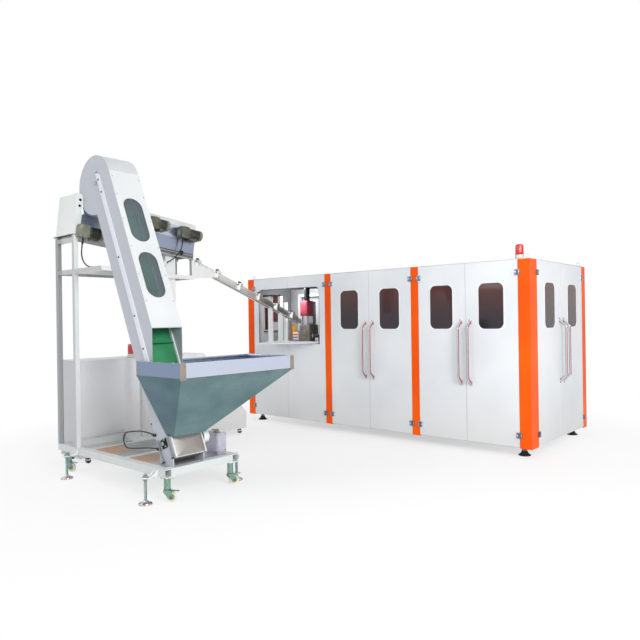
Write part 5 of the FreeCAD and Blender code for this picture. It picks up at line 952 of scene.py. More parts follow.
# ------------------------------------------------------------------ feed opening
class MACHINE_OT_infeed(bpy.types.Operator):
    """Works behind the feed opening: gearbox, red housing, motor, valves, bracket, cylinder,
    guard frame and its dark shutters"""
    bl_idname = "machine.infeed"
    bl_label = "Infeed works"

    def execute(self, context):
        z, near = 1100.0, 170.0     # top of the bed, near face of the drive
        bolt = cap_head(10, 5)
        valve_edges = (-3384, -3360, -3336, -3312)
        stone = [slab((-3267, near, z), (-3076, near + 190, z + 236), 14, 6),
                 slab((-3262, near + 5, z + 228), (-3081, near + 185, z + 241), 12, 3),
                 turned([(62, 0), (62, 6), (56, 9), (30, 9), (26, 13)], (-3171, near + 1, z + 118),
                        -Y, 40)]
        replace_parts(make("infeed_gearbox", stone, "brown_cast"), "infeed_drive")
        metal = [copies(bolt, bolt_circle(6, 50, (-3171, near - 5, z + 118), (X, Z)), -Y),
                 copies(bolt, corners((-3252, -3091), (near + 16, near + 174), z + 240, 2), Z),
                 slab((-3030, near + 56, z + 84), (-2806, near + 64, z + 92), 3, 2, "x"),
                 *slabs(4, 2, "z", ((-3230, near + 120, z + 241), (-3116, near + 190, z + 563)),
                        ((-3000, near + 30, z), (-2940, near + 90, z + 66))),
                 *slabs(5, 2, "x", *(((low, near + 32, z + 62), (low + 18, near + 88, z + 118))
                                     for low in (-3060, -2818)))]
        make("infeed_metal", metal, "aluminium")
        make("infeed_housing", [slab((-3241, near, z + 363), (-3105, near + 120, z + 573), 10, 5),
                                slab((-3236, near - 5, z + 372), (-3110, near + 3, z + 564), 8, 2,
                                     "y")], "red_cast")
        dark = [prism(finned(34, 40, 22) + (-3165, near + 60), z + 580, z + 735, 2),
                turned([(41, 0), (41, 8), (36, 11)], (-3165, near + 60, z + 571), Z, 36),
                turned([(41, 0), (41, 20), (38, 26), (12, 27)], (-3165, near + 60, z + 735), Z, 36),
                turned([(25, 0), (25, 224)], (-3042, near + 60, z + 90), X, 36),
                copies(bolt, corners((-3226, -3120), (z + 384, z + 552), near - 4.8), -Y),
                *slabs(2, 1, "z", *(((low + 4, near + 14, z + 147), (low + 17, near + 60, z + 157))
                                    for low in valve_edges)),
                *slabs(4, 2, "z", *(((x - 27, 3, low), (x + 27, 27, high)) for x, low, high in (
                    (-3750, 1278, 1298), (-3750, 1575, 1589), (-3568, 1387, 1405)))),
                slab((-3792, 0, 1746), (-3448, 30, 1764), 5, 2.5, "x"),
                copies(turned([(13, 0), (13, 10), (9, 14)], count=8),
                       [(-3780, -2, 1755), (-3460, -2, 1755)], -Y)]
        make("infeed_motor", dark, "dark_plastic")
        make("infeed_valves", slabs(3, 1.5, "z", *(((low, near, z), (low + 21, near + 110, z + 146))
                                                   for low in valve_edges)), "ivory")
        amber = [slab((-3490, near + 60, z), (-3400, near + 90, z + 14), 3, 1.5),
                 slab((-3490, near + 78, z), (-3400, near + 90, z + 230), 6, 1.5, "y"),
                 prism([(-3440, z + 8), (-3452, z + 8), (-3452, z + 150)], near + 62, near + 80)]
        make("infeed_bracket", amber, "amber")
        for up, colour in ((30, "blue"), (70, "purple"), (110, "red")):
            make("infeed_fittings_" + colour, [
                turned([(8, 0), (8, 6), (6, 7), (6, 16), (4, 17)], (low + 10, near + 1, z + up),
                       -Y, 12) for low in valve_edges], colour + "_tube")

        # T-slot sections 40 mm wide: one side with half of each groove beside it, turned four times
        side = np.array([(20, -20), (20, -5), (14, -5), (14, 5), (20, 5)], float)
        section = np.concatenate([side @ np.array(turn).T for turn in (
            ((1, 0), (0, 1)), ((0, -1), (1, 0)), ((-1, 0), (0, -1)), ((0, 1), (-1, 0)))])
        bars = [prism(section + spot, low, top, 2) for spot, low, top in (
            ((-3660, 15), z + 18, 1748), ((-3468, 15), z + 18, 1748),
            ((-3540, near + 20), z, z + 560), ((-2860, near + 320), z, z + 640),
            ((-3540, near + 320), z, z + 640))]
        bars.append(prism(section + (near + 320, z + 665), -3560, -2840, 0))
        make("infeed_guard", bars, "loader_white")
        make("infeed_shutters", slabs(4, 2, "z", ((-3778, 8, 1296), (-3722, 22, 1578)),
                                      ((-3610, 8, 1400), (-3526, 22, 1748))), "shutter")
        make("infeed_back_panel", [slab((-3790, near + 396, z + 20), (-2700, near + 400, z + 760),
                                        3, 1, "y")], "cabinet")
        return {"FINISHED"}


# ------------------------------------------------------------------ elevator
PORT_LEVELS = (1329.58, 1870.58)    # feet of the two elevator windows, along the elevator
TAIL_AXLE = (100, 0, 145)           # middle of the tail drum's shaft


class MACHINE_OT_elevator(bpy.types.Operator):
    """Elevator fittings: window frames, cover screws, side rails and their bolts, belt guides,
    tail plate, take-up rods and bearing"""
    bl_idname = "machine.elevator"
    bl_label = "Elevator fittings"

    def execute(self, context):
        frames, rims = [], []
        for foot in PORT_LEVELS:
            loops = [np.insert(rounded(wide, tall, corner, 14) + (across, foot + 218), 0, level,
                               axis=1)
                     for wide, tall, corner, across, level in (
                         (246, 446, 104, 150, 338.4), (246, 446, 104, 150, 339.6),
                         (184, 434, 88, 144, 340.4), (178, 430, 86, 144, 340.4),
                         (178, 430, 86, 144, 336.4), (246, 446, 104, 150, 338.4))]
            rims.append(skin(loops, close=False))
            frames.append(sweep(gutter(2.6, -1, 1.0, 2.2, 1.2), loops[3], X, True))
        make("elevator_window_frames", frames, "dark_gasket", where=LIFT)
        make("elevator_window_rims", rims, "cover", where=LIFT)
        spots = corners((17, 283), (1296, 1548, 1818, 2089, 2338, 2520), 340.8, 0)
        make("elevator_cover_screws", [copies(cap_head(8, 3), spots, X, LIFT)], "dark_zinc")
        # the cover's upper end: a lapped joint under the crown sheet
        make("elevator_crown_seam", [slab((337.8, 0.3, 2574), (341.6, 299.7, 2582), 1, 0.8, "y")],
             "loader_white", where=LIFT)

        rails, bolts = [], []
        flat = [(143, 627.4), (191, 627.4), (191, 2632), (143, 2700)]
        for low, high, face, way in ((-10.8, -0.2, -10.6, -1), (300.2, 310.8, 310.6, 1)):
            rails.append(prism(flat, low, high))
            spots = [(165, face, u) for u in (2668, 2590, 2462, 1800, 1240, 940)]
            bolts.append(copies(hex_head(11, 5, 17), spots, Y * way, LIFT))
        make("elevator_side_rails", rails, "rail_white", where=LIFT)
        make("elevator_rail_bolts", bolts, "black_bolt")
        make("belt_guides", slabs(3, 2, "z", ((166, 3.2, 300), (190, 14.6, 2380)),
                                  ((166, 285.4, 300), (194, 296.8, 2380))), "white_plastic",
             where=LIFT)
        make("tail_front_plate", [slab((199.6, 12, 6), (201.4, 288, 168), 2, 0.8, "x"),
                                  slab((10, 0.4, -1.2), (196, 299.6, 0.4), 2, 0.6)],
             "plate_steel", where=LIFT)
        make("tail_side_flanges", slabs(1.5, 1, "z", *(((199.6, low, 0), (208, low + 11, 168))
                                                       for low in (0, 289))), "loader_white",
             where=LIFT)

        rods = [turned(thread(6, 8, 196), (v, -12, 0), Z, 14) for v in (34, 172)]
        rods.append(standing(hex_head(18, 8, 22), *corners((34, 172), (14, 30, 176), -12)))
        rods.append(turned([(15.4, -20.6), (14.2, -21.4), (14.2, -22), (6, -22)], TAIL_AXLE, Y))
        make("tail_take_up_rods", rods, "steel", where=LIFT)
        # flange bearing: a square casting with round corners, a hub and four bolt bosses
        block = [slab((62, -11, 107), (138, -0.2, 183), 14, 2.5, "y"),
                 turned([(30, 0), (29, -6), (24, -8.5), (16, -8.5)], (100, -11, 145), Y, 40),
                 *(turned([(9, 0), (9, -2.5), (7.5, -3.5)], spot, Y, 20)
                   for spot in corners((73, 127), (118, 172), -10.8)),
                 *slabs(2, 1, "z", ((20, -17, 2), (48, -7, 12)), ((158, -17, 2), (186, -7, 12)))]
        # clamps that hold the tail lead
        clamps = slabs(4, 2, "y", *(((x - 13.4, -3204.6, z - 13.4), (x + 13.4, -3186, z + 13.4))
                                    for x, z in ((-1750, 494), (-1694.3, 388))))
        make("tail_bearing", [placed(combine(block), LIFT)] + clamps, "black_bolt")
        make("tail_bearing_bolts", [copies(hex_head(13, 6, 18), corners((73, 127), (118, 172), -14),
                                           -Y, LIFT)], "zinc")
        return {"FINISHED"}


# ------------------------------------------------------------------ hopper
class MACHINE_OT_hopper(bpy.types.Operator):
    """Hopper fittings: corner angles, bars and bolts of the rim, and the weld at the knee"""
    bl_idname = "machine.hopper"
    bl_label = "Hopper fittings"

    def execute(self, context):
        left, right, near, far = -1868.0, -1267.0, -3280.0, -2055.0
        rim, knee = 1094.0, 980.0
        out, thick, long, short = -1.0, 0.6, 46, 13     # an L section round each corner
        angles, bolts = [], []
        for x, sx in ((left, 1), (right, -1)):
            for y, sy in ((near, 1), (far, -1)):
                section = [(x + sx * a, y + sy * b) for a, b in (
                    (out, out), (out, long), (thick, long), (thick, thick), (short, thick),
                    (short, out))]
                angles.append(prism(section, 968, rim + 0.6, 2))
                bolts.append(copies(cap_head(7, 2.4), [(x - sx * 0.9, y + sy * 34, up)
                                                       for up in (1000, 1070)], -X * sx))
        make("hopper_corner_angles", angles, "corner_steel")
        make("hopper_corner_screws", bolts, "dark_zinc")

        # stiffening bars 3.2 mm thick inside the rim; the left one leaves the elevator's slot free
        bars = [slab((x, y, 1070), (x + 3.2, far - 24, rim + 0.4), 1, 0.8, "y")
                for x, y in ((right - 26.6, near + 24), (left + 23.4, -2862))]
        bars += [slab((left + 24, y, 1070), (right - 24, y + 3.2, rim + 0.4), 1, 0.8, "x")
                 for y in (near + 23.4, far - 26.6)]
        make("hopper_rim_folds", bars, "band_steel")
        spots = ([(right - 12, y, rim) for y in np.arange(near + 120, far - 60, 245.0)]
                 + corners((-1760, -1570, -1380), (near + 12, far - 12), rim, 2))
        make("hopper_rim_bolts", [copies(hex_head(10, 4, 15), spots, Z)], "zinc")

        # the weld where bowl and band meet: a bead 5 mm wide laid along the knee
        path = [(x, y, knee) for x, y in (
            (left + 0.6, -2870), (left + 0.6, far - 0.6), (right - 0.6, far - 0.6),
            (right - 0.6, near + 0.6), (left + 0.6, near + 0.6), (left + 0.6, -3200))]
        make("hopper_knee_weld", [sweep(around(8, 2.2), path)], "flange_steel")
        return {"FINISHED"}


# ------------------------------------------------------------------ sorter
class MACHINE_OT_sorter(bpy.types.Operator):
    """Sorter fittings: stainless side sheets in two bands, the seal and rail below them, the
    foot flange, latches and bolts"""
    bl_idname = "machine.sorter"
    bl_label = "Sorter fittings"

    def execute(self, context):
        side, near, far = 167.0, 66, 1361
        skin_x = side - 0.5
        # the lower band leans in by 6 mm towards its foot; its darker steel tone is painted shade
        lean = [(skin_x, 62), (side + 1.0, 62), (side + 7.0, 192), (side + 7.0, 196),
                (skin_x, 196)]
        for name, parts, finish in (
                ("upper_sheet", [slab((skin_x, near, 196), (side + 1.2, far, 332), 2, 0.5, "x")],
                 "band_steel"),
                ("lower_sheet", [prism(lean, near, far)], "shade_steel"),
                ("seal", [slab((skin_x, near, 50), (side + 4, far, 61), 2, 1.5, "y")],
                 "dark_gasket"),
                ("rail", [slab((skin_x, near, 38), (side + 9, far, 49), 2, 1.5, "y"),
                          slab((skin_x, near, -3), (side + 13, far, 14), 3, 2, "y")], "steel"),
                ("foot_flange", [slab((skin_x, 68, 14), (side + 6, 1359, 38), 2, 1.5, "y"),
                                 slab((-217.8, -0.8, -6.4), (168, 71, 0.4), 2, 0.5)],
                 "flange_steel"),
                ("end_plate", [slab((skin_x, 56, 254), (side + 3.4, 113, 368), 3, 1, "x")],
                 "loader_white")):
            make("sorter_" + name, parts, finish, where=SORTER)
        # latches on the seal: a plate, a lever and its pin
        latches = [slab((side + 3, y, 40), (side + 12, y + 44, 74), 3, 2, "x")
                   for y in (300, 1180)]
        latches += [slab((side + 11, y + 16, 22), (side + 17, y + 28, 70), 4, 2, "x")
                    for y in (300, 1180)]
        bolts = copies(hex_head(17, 8, 26), [(side, 38, 326), (side, 38, 270)], X, SORTER)
        make("sorter_latches", [bolts, placed(combine(latches), SORTER)], "black_bolt")
        make("sorter_screws", [
            copies(cap_head(7, 2.6), corners(np.arange(90, 1360, 158.0), (206, 322), side + 1.1, 0),
                   X, SORTER),
            copies(cap_head(7, 2.6), corners((-155, 155), np.arange(60, 1340, 213.0), 383, 2), Z,
                   SORTER)], "zinc")
        # a lap joint across the hood's top, folded edges and a lift knob
        knob = [(14, 0), (14, 2), (6, 4), (6, 14), (13, 18), (14, 24), (9, 28)]
        make("sorter_lid", [slab((-168.4, 640, 372), (168.4, 1365, 384.6), 2, 1.2, "y"),
                            turned(knob, (0, 1240, 384), Z, 24)], "loader_white", where=SORTER)
        return {"FINISHED"}


class MACHINE_OT_motors(bpy.types.Operator):
    """Geared motors: cast gearboxes, finned cans, fan cowls and terminal boxes, and the round
    motor on the tail drum"""
    bl_idname = "machine.motors"
    bl_label = "Geared motors"

    def execute(self, context):
        fins = context.scene.machine_fittings.fins
        cast, olive, cans, glands, screws = [], [], [], [], []
        side, mid, desk = 168.5, 225.3, 222.3   # flange face, can's axis, terminal box's middle
        cowl = [(55, 0), (57, 2), (57, 26), (55.5, 31), (51, 35), (45, 36)]
        for outer in (45, 33):                  # grille: round slots between raised rings
            cowl += [(outer, 33.4), (outer - 7, 33.4), (outer - 7, 35.6), (outer - 12, 35.6)]
        cowl += [(21, 33.4), (12, 33.4), (12, 36)]
        for y, z, long, gland in ((1125, 259, 170, (desk, 47.5)), (750, 277, 121, None),
                                  (20, 29, 143, (197.3, 65))):
            end, heart = y + 95, (side, y + 48, z)
            # the near motor's gearbox is a lighter casting than the others
            block = olive if y < 100 else cast
            block += [slab((side, y + 2, z - 60), (side + 100, end, z + 60), 16, 6, "x"),
                      # a bearing cover with a stepped boss
                      turned([(44, 0), (44, 4), (40, 7), (24, 7), (22, 9.2)],
                             np.add(heart, (99, 0, 0)), X, 36)]
            cast += slabs(2, 1.5, "z", *(((side + 20, y + 6, level - 4),
                                          (side + 80, end - 6, level + 4))
                                         for level in (z - 56, z + 56)))
            back = end + long - 50
            cast += [turned([(55, 0), (55, 9), (50, 12)], (mid, end - 2, z), Y, 44),
                     slab((desk - 30, end + 15, z - 70), (desk + 30, back, z - 44), 5, 2),
                     slab((desk - 32, end + 13, z - 73), (desk + 32, back + 2, z - 67), 6, 2)]
            cans.append(prism(finned(47.5, 54.6, fins) + (mid, z), end + 9, end + long - 37))
            olive.append(turned(cowl, (mid, end + long - 36, z), Y, 44))
            screws += [copies(cap_head(7, 3), corners((desk - 26, desk + 26),
                                                      (end + 20, end + long - 56), z - 72.8, 2),
                              -Z, SORTER),
                       copies(hex_head(10, 5), bolt_circle(6, 35, np.add(heart, (99.8, 0, 0)),
                                                           (Y, Z)), X, SORTER),
                       copies(hex_head(13, 7, 20), corners((y + 16, y + 80), (z - 50, z + 50),
                                                           side + 16, 0), X, SORTER)]
            if gland:
                across, along = gland
                glands.append(turned([(12, 0), (12, -12), (10.5, -14), (10.5, -28)],
                                     (across, y + along, z - 59.5), Z, 6))
        for name, parts, key in (("sorter_motors", cast, "motor_case"),
                                 ("sorter_motor_cowls", olive, "motor"),
                                 ("sorter_motor_cans", cans, "motor_can")):
            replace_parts(make(name, parts, key, where=SORTER), "geared_motors")
        make("motor_screws", screws, "dark_zinc")
        make("motor_glands", glands, "dark_plastic", where=SORTER)

        x, _, z = on(LIFT, TAIL_AXLE)
        tail = np.array((x, LIFT_NEAR + LIFT_WIDE + 0.3, z))
        make("tail_motor_flange", [turned([
            (56, 0), (56, 12), (52, 14), (52, 20), (46, 22), (46, 44), (54, 46), (54, 54)], tail, Y,
            48)], "dark_plastic")
        make("tail_motor_can", [turned([
            (53, 54), (54, 56), (54, 84), (53, 85), (53, 87), (54, 88), (54, 104), (52, 111),
            (46, 115), (30, 116), (28, 113.5), (10, 113.5), (8, 116)], tail, Y, 56)],
             "white_plastic")
        make("tail_motor_screws", [copies(cap_head(9, 4), bolt_circle(
            4, 49, tail + (0, 12, 0), (X, Z), 0.7), Y)], "zinc")
        return {"FINISHED"}


# ------------------------------------------------------------------ loader base
# middle of each levelling foot, the wall that carries it, and which way the wall faces
STANDS = ((-1616.0, -3375.0, -3280.0, 1), (-2873.14, -3375.0, -3280.0, 1),
          (-1608.0, -2452.0, -2537.0, -1))
# pin of each swivel and its turn in degrees
CASTERS = {"near_right": (-1536.0, -3230.0, 41), "near_left": (-3119.14, -3230.0, 20),
           "far_right": (-1536.0, -2587.0, 75), "far_left": (-3119.14, -2587.0, 50)}


class MACHINE_OT_stands(bpy.types.Operator):
    """Levelling feet of the loader: threaded studs, nuts, chromed disks on orange rings, and
    the brackets that hold them"""
    bl_idname = "machine.stands"
    bl_label = "Levelling feet"

    def execute(self, context):
        spots = [(x, y, 0) for x, y, wall, way in STANDS]
        stud = [turned([(9, 30)] + thread(12, 34, 240) + [(10, 242)], count=22),
                standing(hex_head(36, 13, 42), (0, 0, 188), (0, 0, 210)),
                standing(hex_head(22, 10), (0, 0, 35))]
        disk = turned([(52, 5), (54, 6.5), (54, 9), (52, 12.5), (44, 16), (30, 21), (22, 25),
                       (18, 31), (15, 35), (11, 36)], count=56)
        ring = turned([(50, 0), (53.4, 1), (54, 3), (53.4, 5.5), (50, 6)], count=56)
        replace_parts(make("stand_studs", [standing(combine(stud), *spots)], "zinc"), "loader_feet")
        make("stand_disks", [standing(disk, *spots)], "chrome")
        make("stand_rings", [standing(ring, *spots)], "foot_ring")
        brackets = []
        for x, y, wall, way in STANDS:
            brackets += [slab((x - 30, y, 202), (x + 30, wall, 210), 2, 1.5, "x"),
                         turned([(30, 0), (30, 6.8), (28.8, 8)], (x, y, 202), Z, 40),
                         slab((x - 30, wall - way * 5.3, 202), (x + 30, wall, 252), 3, 1.5, "y")]
            # two gussets from the arm up to the wall plate
            gusset = [(wall - way * 4, 208), (wall - way * 62, 208), (wall - way * 4, 248)]
            brackets += [prism(gusset, x + edge, x + edge + 5, 0) for edge in (-27, 22)]
        make("stand_brackets", brackets, "loader_white")
        return {"FINISHED"}


class MACHINE_OT_casters(bpy.types.Operator):
    """Casters of the loader: turned wheels with a recessed web, axle nuts, brake pedals,
    swivel seals and plate bolts"""
    bl_idname = "machine.casters"
    bl_label = "Casters"

    def execute(self, context):
        half = [(12.6, 16.5), (15.6, 16.5), (16, 16), (16, 9), (27, 9), (29, 13.4), (35.4, 13.8),
                (38.4, 12), (39.8, 8)]
        rim = [(radius, -out) for radius, out in half] + [(40, 0)] + half[::-1]
        hub, nut_out = (33, 0, 40), 20.9
        plates = []
        for name, (x, y, turn) in CASTERS.items():
            a = math.radians(turn)
            here = local((x, y, 0), (math.cos(a), math.sin(a), 0), (-math.sin(a), math.cos(a), 0))
            wheel = make("wheel_" + name, [turned(rim, hub, Y, 56)], "cream", name + "_wheel",
                         where=here)
            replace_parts(wheel, "caster_wheel_" + name)
            make("wheel_hub_" + name, [
                turned([(17, side * 9.2), (24, side * 9.2), (24, side * 10.4), (17, side * 10.4)],
                       hub, Y) for side in (-1, 1)], "zinc", name + "_wheel", where=here)
            nuts = [copies(hex_head(19, 7, 24), [(hub[0], side * nut_out, hub[2])], Y * side, here)
                    for side in (-1, 1)]
            nuts += [placed(turned([(26, 0), (28.5, 1), (28.5, 6), (26, 7)], (0, 0, level), Z, 40),
                            here) for level in (97, 184)]
            make("caster_nuts_" + name, nuts, "dark_zinc", name + "_swivel")
            pedal = [slab((52.4, -14.8, 83.4), (95.6, 14.8, 90.8), 5, 2)]
            pedal += slabs(1, 0.6, "z", *(((tread, -12, 90), (tread + 2.4, 12, 91.8))
                                          for tread in range(62, 87, 6)))
            make("caster_pedal_" + name, pedal, "chrome", name + "_swivel", where=here)
            plates.append(copies(hex_head(13, 7, 18), corners((x - 35, x + 35), (y - 28, y + 28),
                                                              194.2, 2), -Z))
        make("caster_plate_bolts", plates, "zinc")
        return {"FINISHED"}


class MACHINE_OT_tail_gear(bpy.types.Operator):
    """Junction box on the loader's deck: lids, screws, and the plugs and bar on top"""
    bl_idname = "machine.tail_gear"
    bl_label = "Junction box"

    def execute(self, context):
        (x1, y1, _), (x2, y2, top) = span("junction_box")
        make("junction_lids", [
            slab((x2 - 0.4, y1 + 4, 286), (x2 + 5, y2 - 4, top - 4), 6, 2, "x"),
            slab((x1 + 4, y1 - 5, 286), (x2 - 4, y1 + 0.4, top - 4), 6, 2, "y")], "box")
        levels = (296, top - 14)
        make("junction_screws", [
            copies(cap_head(8, 2.6), corners((y1 + 14, y2 - 14), levels, x2 + 4.8, 0), X),
            copies(cap_head(8, 2.6), corners((x1 + 14, x2 - 14), levels, y1 - 4.8), -Y)],
             "dark_zinc")
        make("junction_plugs", [
            slab((x2 - 60, y1 + 6, top - 0.3), (x2 - 8, y1 + 34, top + 15), 4, 2),
            slab((x1 + 10, y2 - 36, top - 0.3), (x1 + 60, y2 - 8, top + 13), 4, 2),
            turned([(13, 0), (13, 8), (10, 10), (10, 20), (8, 22)], (x1 + 88, y2 - 30, top), Z,
                   24)], "motor")
        make("junction_bar", [slab((x1 + 20, y1 + 44, top - 0.3), (x2 - 2, y1 + 56, top + 9), 4, 2,
                                   "x")], "white_plastic")
        return {"FINISHED"}


# ------------------------------------------------------------------ control cabinet
class MACHINE_OT_cabinet(bpy.types.Operator):
    """Control cabinet fittings: door sheets with turned edges, locks, louvres and tyres"""
    bl_idname = "machine.cabinet"
    bl_label = "Control cabinet"

    def execute(self, context):
        (back, near, _), (face, far, top) = span("control_cabinet")
        foot, head = 84, top - 16           # lower and upper edge of the door sheets
        middle = (near + far - 653) / 2     # the gap between the two doors
        sheets = [
            slab((face - 0.4, near + 14, foot), (face + 1.8, middle - 4, head), 4, 0.9, "x"),
            slab((face - 0.4, middle + 4, foot), (face + 1.8, far - 680, head), 4, 0.9, "x"),
            slab((back + 16, near - 1.8, foot), (face - 16, near + 0.4, head), 4, 0.9, "y"),
            # top cover with a folded edge that laps over the walls
            slab((back - 2, near - 2, top - 12), (face + 2, far - 650, top + 0.8), 3, 1.5, "y")]
        # louvres: long half-round scoops pressed out of the sheet
        scoop = np.array([(1.6, 0), (5.6, 2), (4.6, 9), (1.6, 13)])
        sheets += [prism(scoop + (face, level), first, first + 160)
                   for level in np.arange(180, 420, 24.0) for first in (middle + 80, middle + 280)]
        make("cabinet_sheets", sheets, "cabinet")
        plug = [(15, 0), (15, 2.4), (12, 3.6), (7, 3.6), (7, 1.4), (2, 1.4)]
        locks = [turned(plug, spot, X, 28)
                 for spot in corners((middle - 46, middle + 46), (300, 820), face + 1.6, 0)]
        locks.append(turned(plug, (face - 40, near - 1.6, 620), -Y, 28))
        make("cabinet_locks", locks, "dark_zinc")
        half = [(14, 11.6), (22, 11.8), (26.4, 10.6), (27, 7)]
        tread = [(radius, -out) for radius, out in half] + half[::-1]
        tyres = []
        for x, y, z in corners((back + 40, face - 40), (near + 100, far - 82), 27, 2):
            tyres += [turned(tread, (x, y, z), X, 40),
                      slab((x - 15.4, y - 22.4, 42), (x + 15.4, y + 16.4, 64), 4, 2)]
        make("cabinet_tyres", tyres, "rubber")
        return {"FINISHED"}


# ------------------------------------------------------------------ chute
class MACHINE_OT_chute(bpy.types.Operator):
    """Chute fittings: star knobs, clamp bolts, and the rails' rolled lower edges"""
    bl_idname = "machine.chute"
    bl_label = "Chute fittings"

    def execute(self, context):
        stations = (50, 380, 780, 1150, 1520, 1867)
        # a star knob has six lobes, 2.4 mm high on its rim
        profile = [(10, 0.6, 0), (16, 2.4, 2), (19, 2.4, 6), (19, 2.4, 16), (16, 2.4, 21),
                   (8, 0.6, 24)]
        make("chute_knobs", [fluted(profile, (down, 0, 66), 6, 60) for down in stations],
             "dark_plastic", where=CHUTE)
        make("chute_bolts", [copies(hex_head(11, 5, 16), corners(stations, (-8, 30), way * 51),
                                    Y * way, CHUTE) for way in (-1, 1)], "zinc")
        make("chute_edges", [sweep(around(12, 3.2), [(4, side * 39, -27.4),
                                                     (2093, side * 39, -27.4)])
                             for side in (-1, 1)], "steel", where=CHUTE)
        return {"FINISHED"}


# ------------------------------------------------------------------ leads
# node, length in metres, lay, and the route's points in millimetres
LEADS = {
    "near_motor_lead": ("near_motor_cord", 0.4031, "hanging", [
        (-2840, -3209.5, 2165), (-2858, -3209.5, 2110), (-2866, -3209.5, 2050),
        (-2842, -3209.5, 1990), (-2790, -3209.5, 1946), (-2715, -3209.5, 1920),
        (-2640, -3209.5, 1908)]),
    "far_motor_lead": ("far_motor_cord", 0.3480, "hanging", [
        (-2815, -2104, 2267), (-2815, -2112, 2200), (-2815, -2150, 2140), (-2815, -2200, 2088),
        (-2815, -2258, 2045), (-2815, -2320, 2020)]),
    "tail_lead": ("tail_cord", 1.0488, "loose", [
        (-1764, -3192.5, 494), (-1865, -3192.5, 506), (-1970, -3192.5, 504),
        (-2076, -3192.5, 488), (-2178, -3192.5, 473), (-2218, -3192.5, 433),
        (-2218, -3192.5, 377), (-2178, -3192.5, 337), (-2076, -3192.5, 344),
        (-1970, -3192.5, 360), (-1865, -3192.5, 376), (-1785, -3192.5, 384),
        (-1708, -3192.5, 388)]),
}


class MACHINE_OT_leads(bpy.types.Operator):
    """Motor and sensor leads, each one smooth curve, with glands where they enter"""
    bl_idname = "machine.leads"
    bl_label = "Leads and glands"

    def execute(self, context):
        thick = context.scene.machine_fittings.lead
        glands = []
        for name, (node, long, lay, route) in LEADS.items():
            curve = bpy.data.curves.new(name, "CURVE")
            curve.dimensions = "3D"
            spline = curve.splines.new("NURBS")
            spline.points.add(len(route) - 1)
            for point, spot in zip(spline.points, route):
                point.co = (spot[0] * MM, spot[1] * MM, spot[2] * MM, 1)
            spline.order_u = 3
            spline.use_endpoint_u = True
            spline.resolution_u = 10
            curve.bevel_depth = thick / 2
            curve.bevel_resolution = 4
            curve.use_fill_caps = True
            curve.materials.append(FINISHES["jacket"])
            thing = bpy.data.objects.new(name, curve)
            context.scene.collection.objects.link(thing)
            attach(thing, ROOT)
            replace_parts(thing, node)
            # a gland is a hexagon nut and a ribbed sleeve that tapers along the lead
            for end, after in ((route[0], route[1]), (route[-1], route[-2])):
                way = np.subtract(after, end)
                glands += [turned([(13, -4), (13, 8), (11.5, 10)], end, way, 6),
                           turned([(10.5, 8), (10.5, 14), (9.2, 15), (10, 18), (8.6, 19.5),
                                   (9.2, 22), (8, 24), (7.6, 30), (6.4, 31)], end, way, 20)]
        make("lead_glands", glands, "dark_plastic")
        return {"FINISHED"}


# ------------------------------------------------------------------ finishes of the frame
NODE_FINISHES = {
    "white": ("top_rails", "fixed_panels", "machine_base", "infeed_shelf"),
    "loader_white": ("sorter_hood",),
    "steel": ("sorter_trough", "left_roller", "right_roller", "clamp_frame", "oven", "tail_drum"),
    "aluminium": ("front_platen", "back_platen", "stretch_carriage"),
    "rubber": ("machine_feet", "kick_wheel"),
    "tower": ("tower_frame",), "cover": ("elevator_cover",), "chute": ("chute_rails",),
    "orange": ("frame_posts",), "grey": ("machine_bed",), "cabinet": ("control_cabinet",),
    "elevator": ("elevator_casing",), "casing_grey": ("head_drum",), "deck": ("loader_base",),
    "hopper": ("hopper",), "dark_zinc": ("door_hinges",), "beige": ("beacon_bases",),
    "lens": ("beacon_domes",), "belt": ("elevator_belt",), "motor": ("geared_motors",),
    "box": ("junction_box",), "zinc": ("loader_feet",), "brown_cast": ("infeed_drive",),
    "smoke": ("fixed_panes",),
}
FAMILY_FINISHES = {"door_": "white", "window_": "tinted", "caster_fork_": "green_zinc",
                   "caster_wheel_": "cream"}


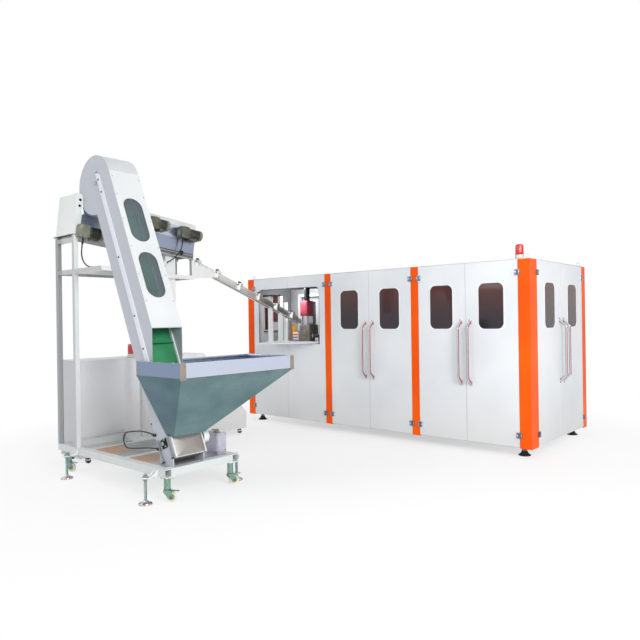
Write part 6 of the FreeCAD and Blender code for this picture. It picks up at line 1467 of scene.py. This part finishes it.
class MACHINE_OT_finishes(bpy.types.Operator):
    """Real finishes on every solid that shows as it is"""
    bl_idname = "machine.finishes"
    bl_label = "Finishes of the solids"

    def execute(self, context):
        for build in (painted_finishes, metal_finishes, moulded_finishes):
            build(FINISHES)
        chosen = {node: key for key, nodes in NODE_FINISHES.items() for node in nodes}
        for name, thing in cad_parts.items():
            family = [key for start, key in FAMILY_FINISHES.items() if name.startswith(start)]
            if name.endswith("_cord"):
                family = ["jacket"]
            if name not in chosen and not family:
                raise RuntimeError(f"no finish for {name}")
            thing.data.materials.clear()
            thing.data.materials.append(FINISHES[chosen.get(name) or family[0]])
        return {"FINISHED"}


# ------------------------------------------------------------------ panel and registration
GROUPS = {"machine_paints": MachinePaints, "machine_stage": MachineStage,
          "machine_fittings": MachineFittings}
OPERATORS = (MACHINE_OT_finishes, MACHINE_OT_gaskets, MACHINE_OT_handles, MACHINE_OT_hinges,
             MACHINE_OT_beacons, MACHINE_OT_feet, MACHINE_OT_infeed, MACHINE_OT_elevator,
             MACHINE_OT_hopper, MACHINE_OT_sorter, MACHINE_OT_motors, MACHINE_OT_stands,
             MACHINE_OT_casters, MACHINE_OT_tail_gear, MACHINE_OT_cabinet, MACHINE_OT_chute,
             MACHINE_OT_leads, MACHINE_OT_stage)


class MACHINE_PT_looks(bpy.types.Panel):
    """The machine's pieces, in the order in which they are made"""
    bl_idname = "MACHINE_PT_looks"
    bl_label = "Blow moulding machine"
    bl_space_type = "VIEW_3D"
    bl_region_type = "UI"
    bl_category = "Machine"

    def draw(self, context):
        for kind in OPERATORS:
            self.layout.operator(kind.bl_idname)


CLASSES = (*GROUPS.values(), *OPERATORS, MACHINE_PT_looks)


def register():
    """Registers the classes and hangs the settings on the scene."""
    for kind in CLASSES:
        bpy.utils.register_class(kind)
    for name, kind in GROUPS.items():
        setattr(bpy.types.Scene, name, PointerProperty(type=kind))


def unregister():
    """Takes the settings and classes away again."""
    for name in GROUPS:
        delattr(bpy.types.Scene, name)
    for kind in reversed(CLASSES):
        bpy.utils.unregister_class(kind)


def main():
    register()
    for kind in OPERATORS:
        group, name = kind.bl_idname.split(".")
        getattr(getattr(bpy.ops, group), name)()


if __name__ == "__main__":
    main()
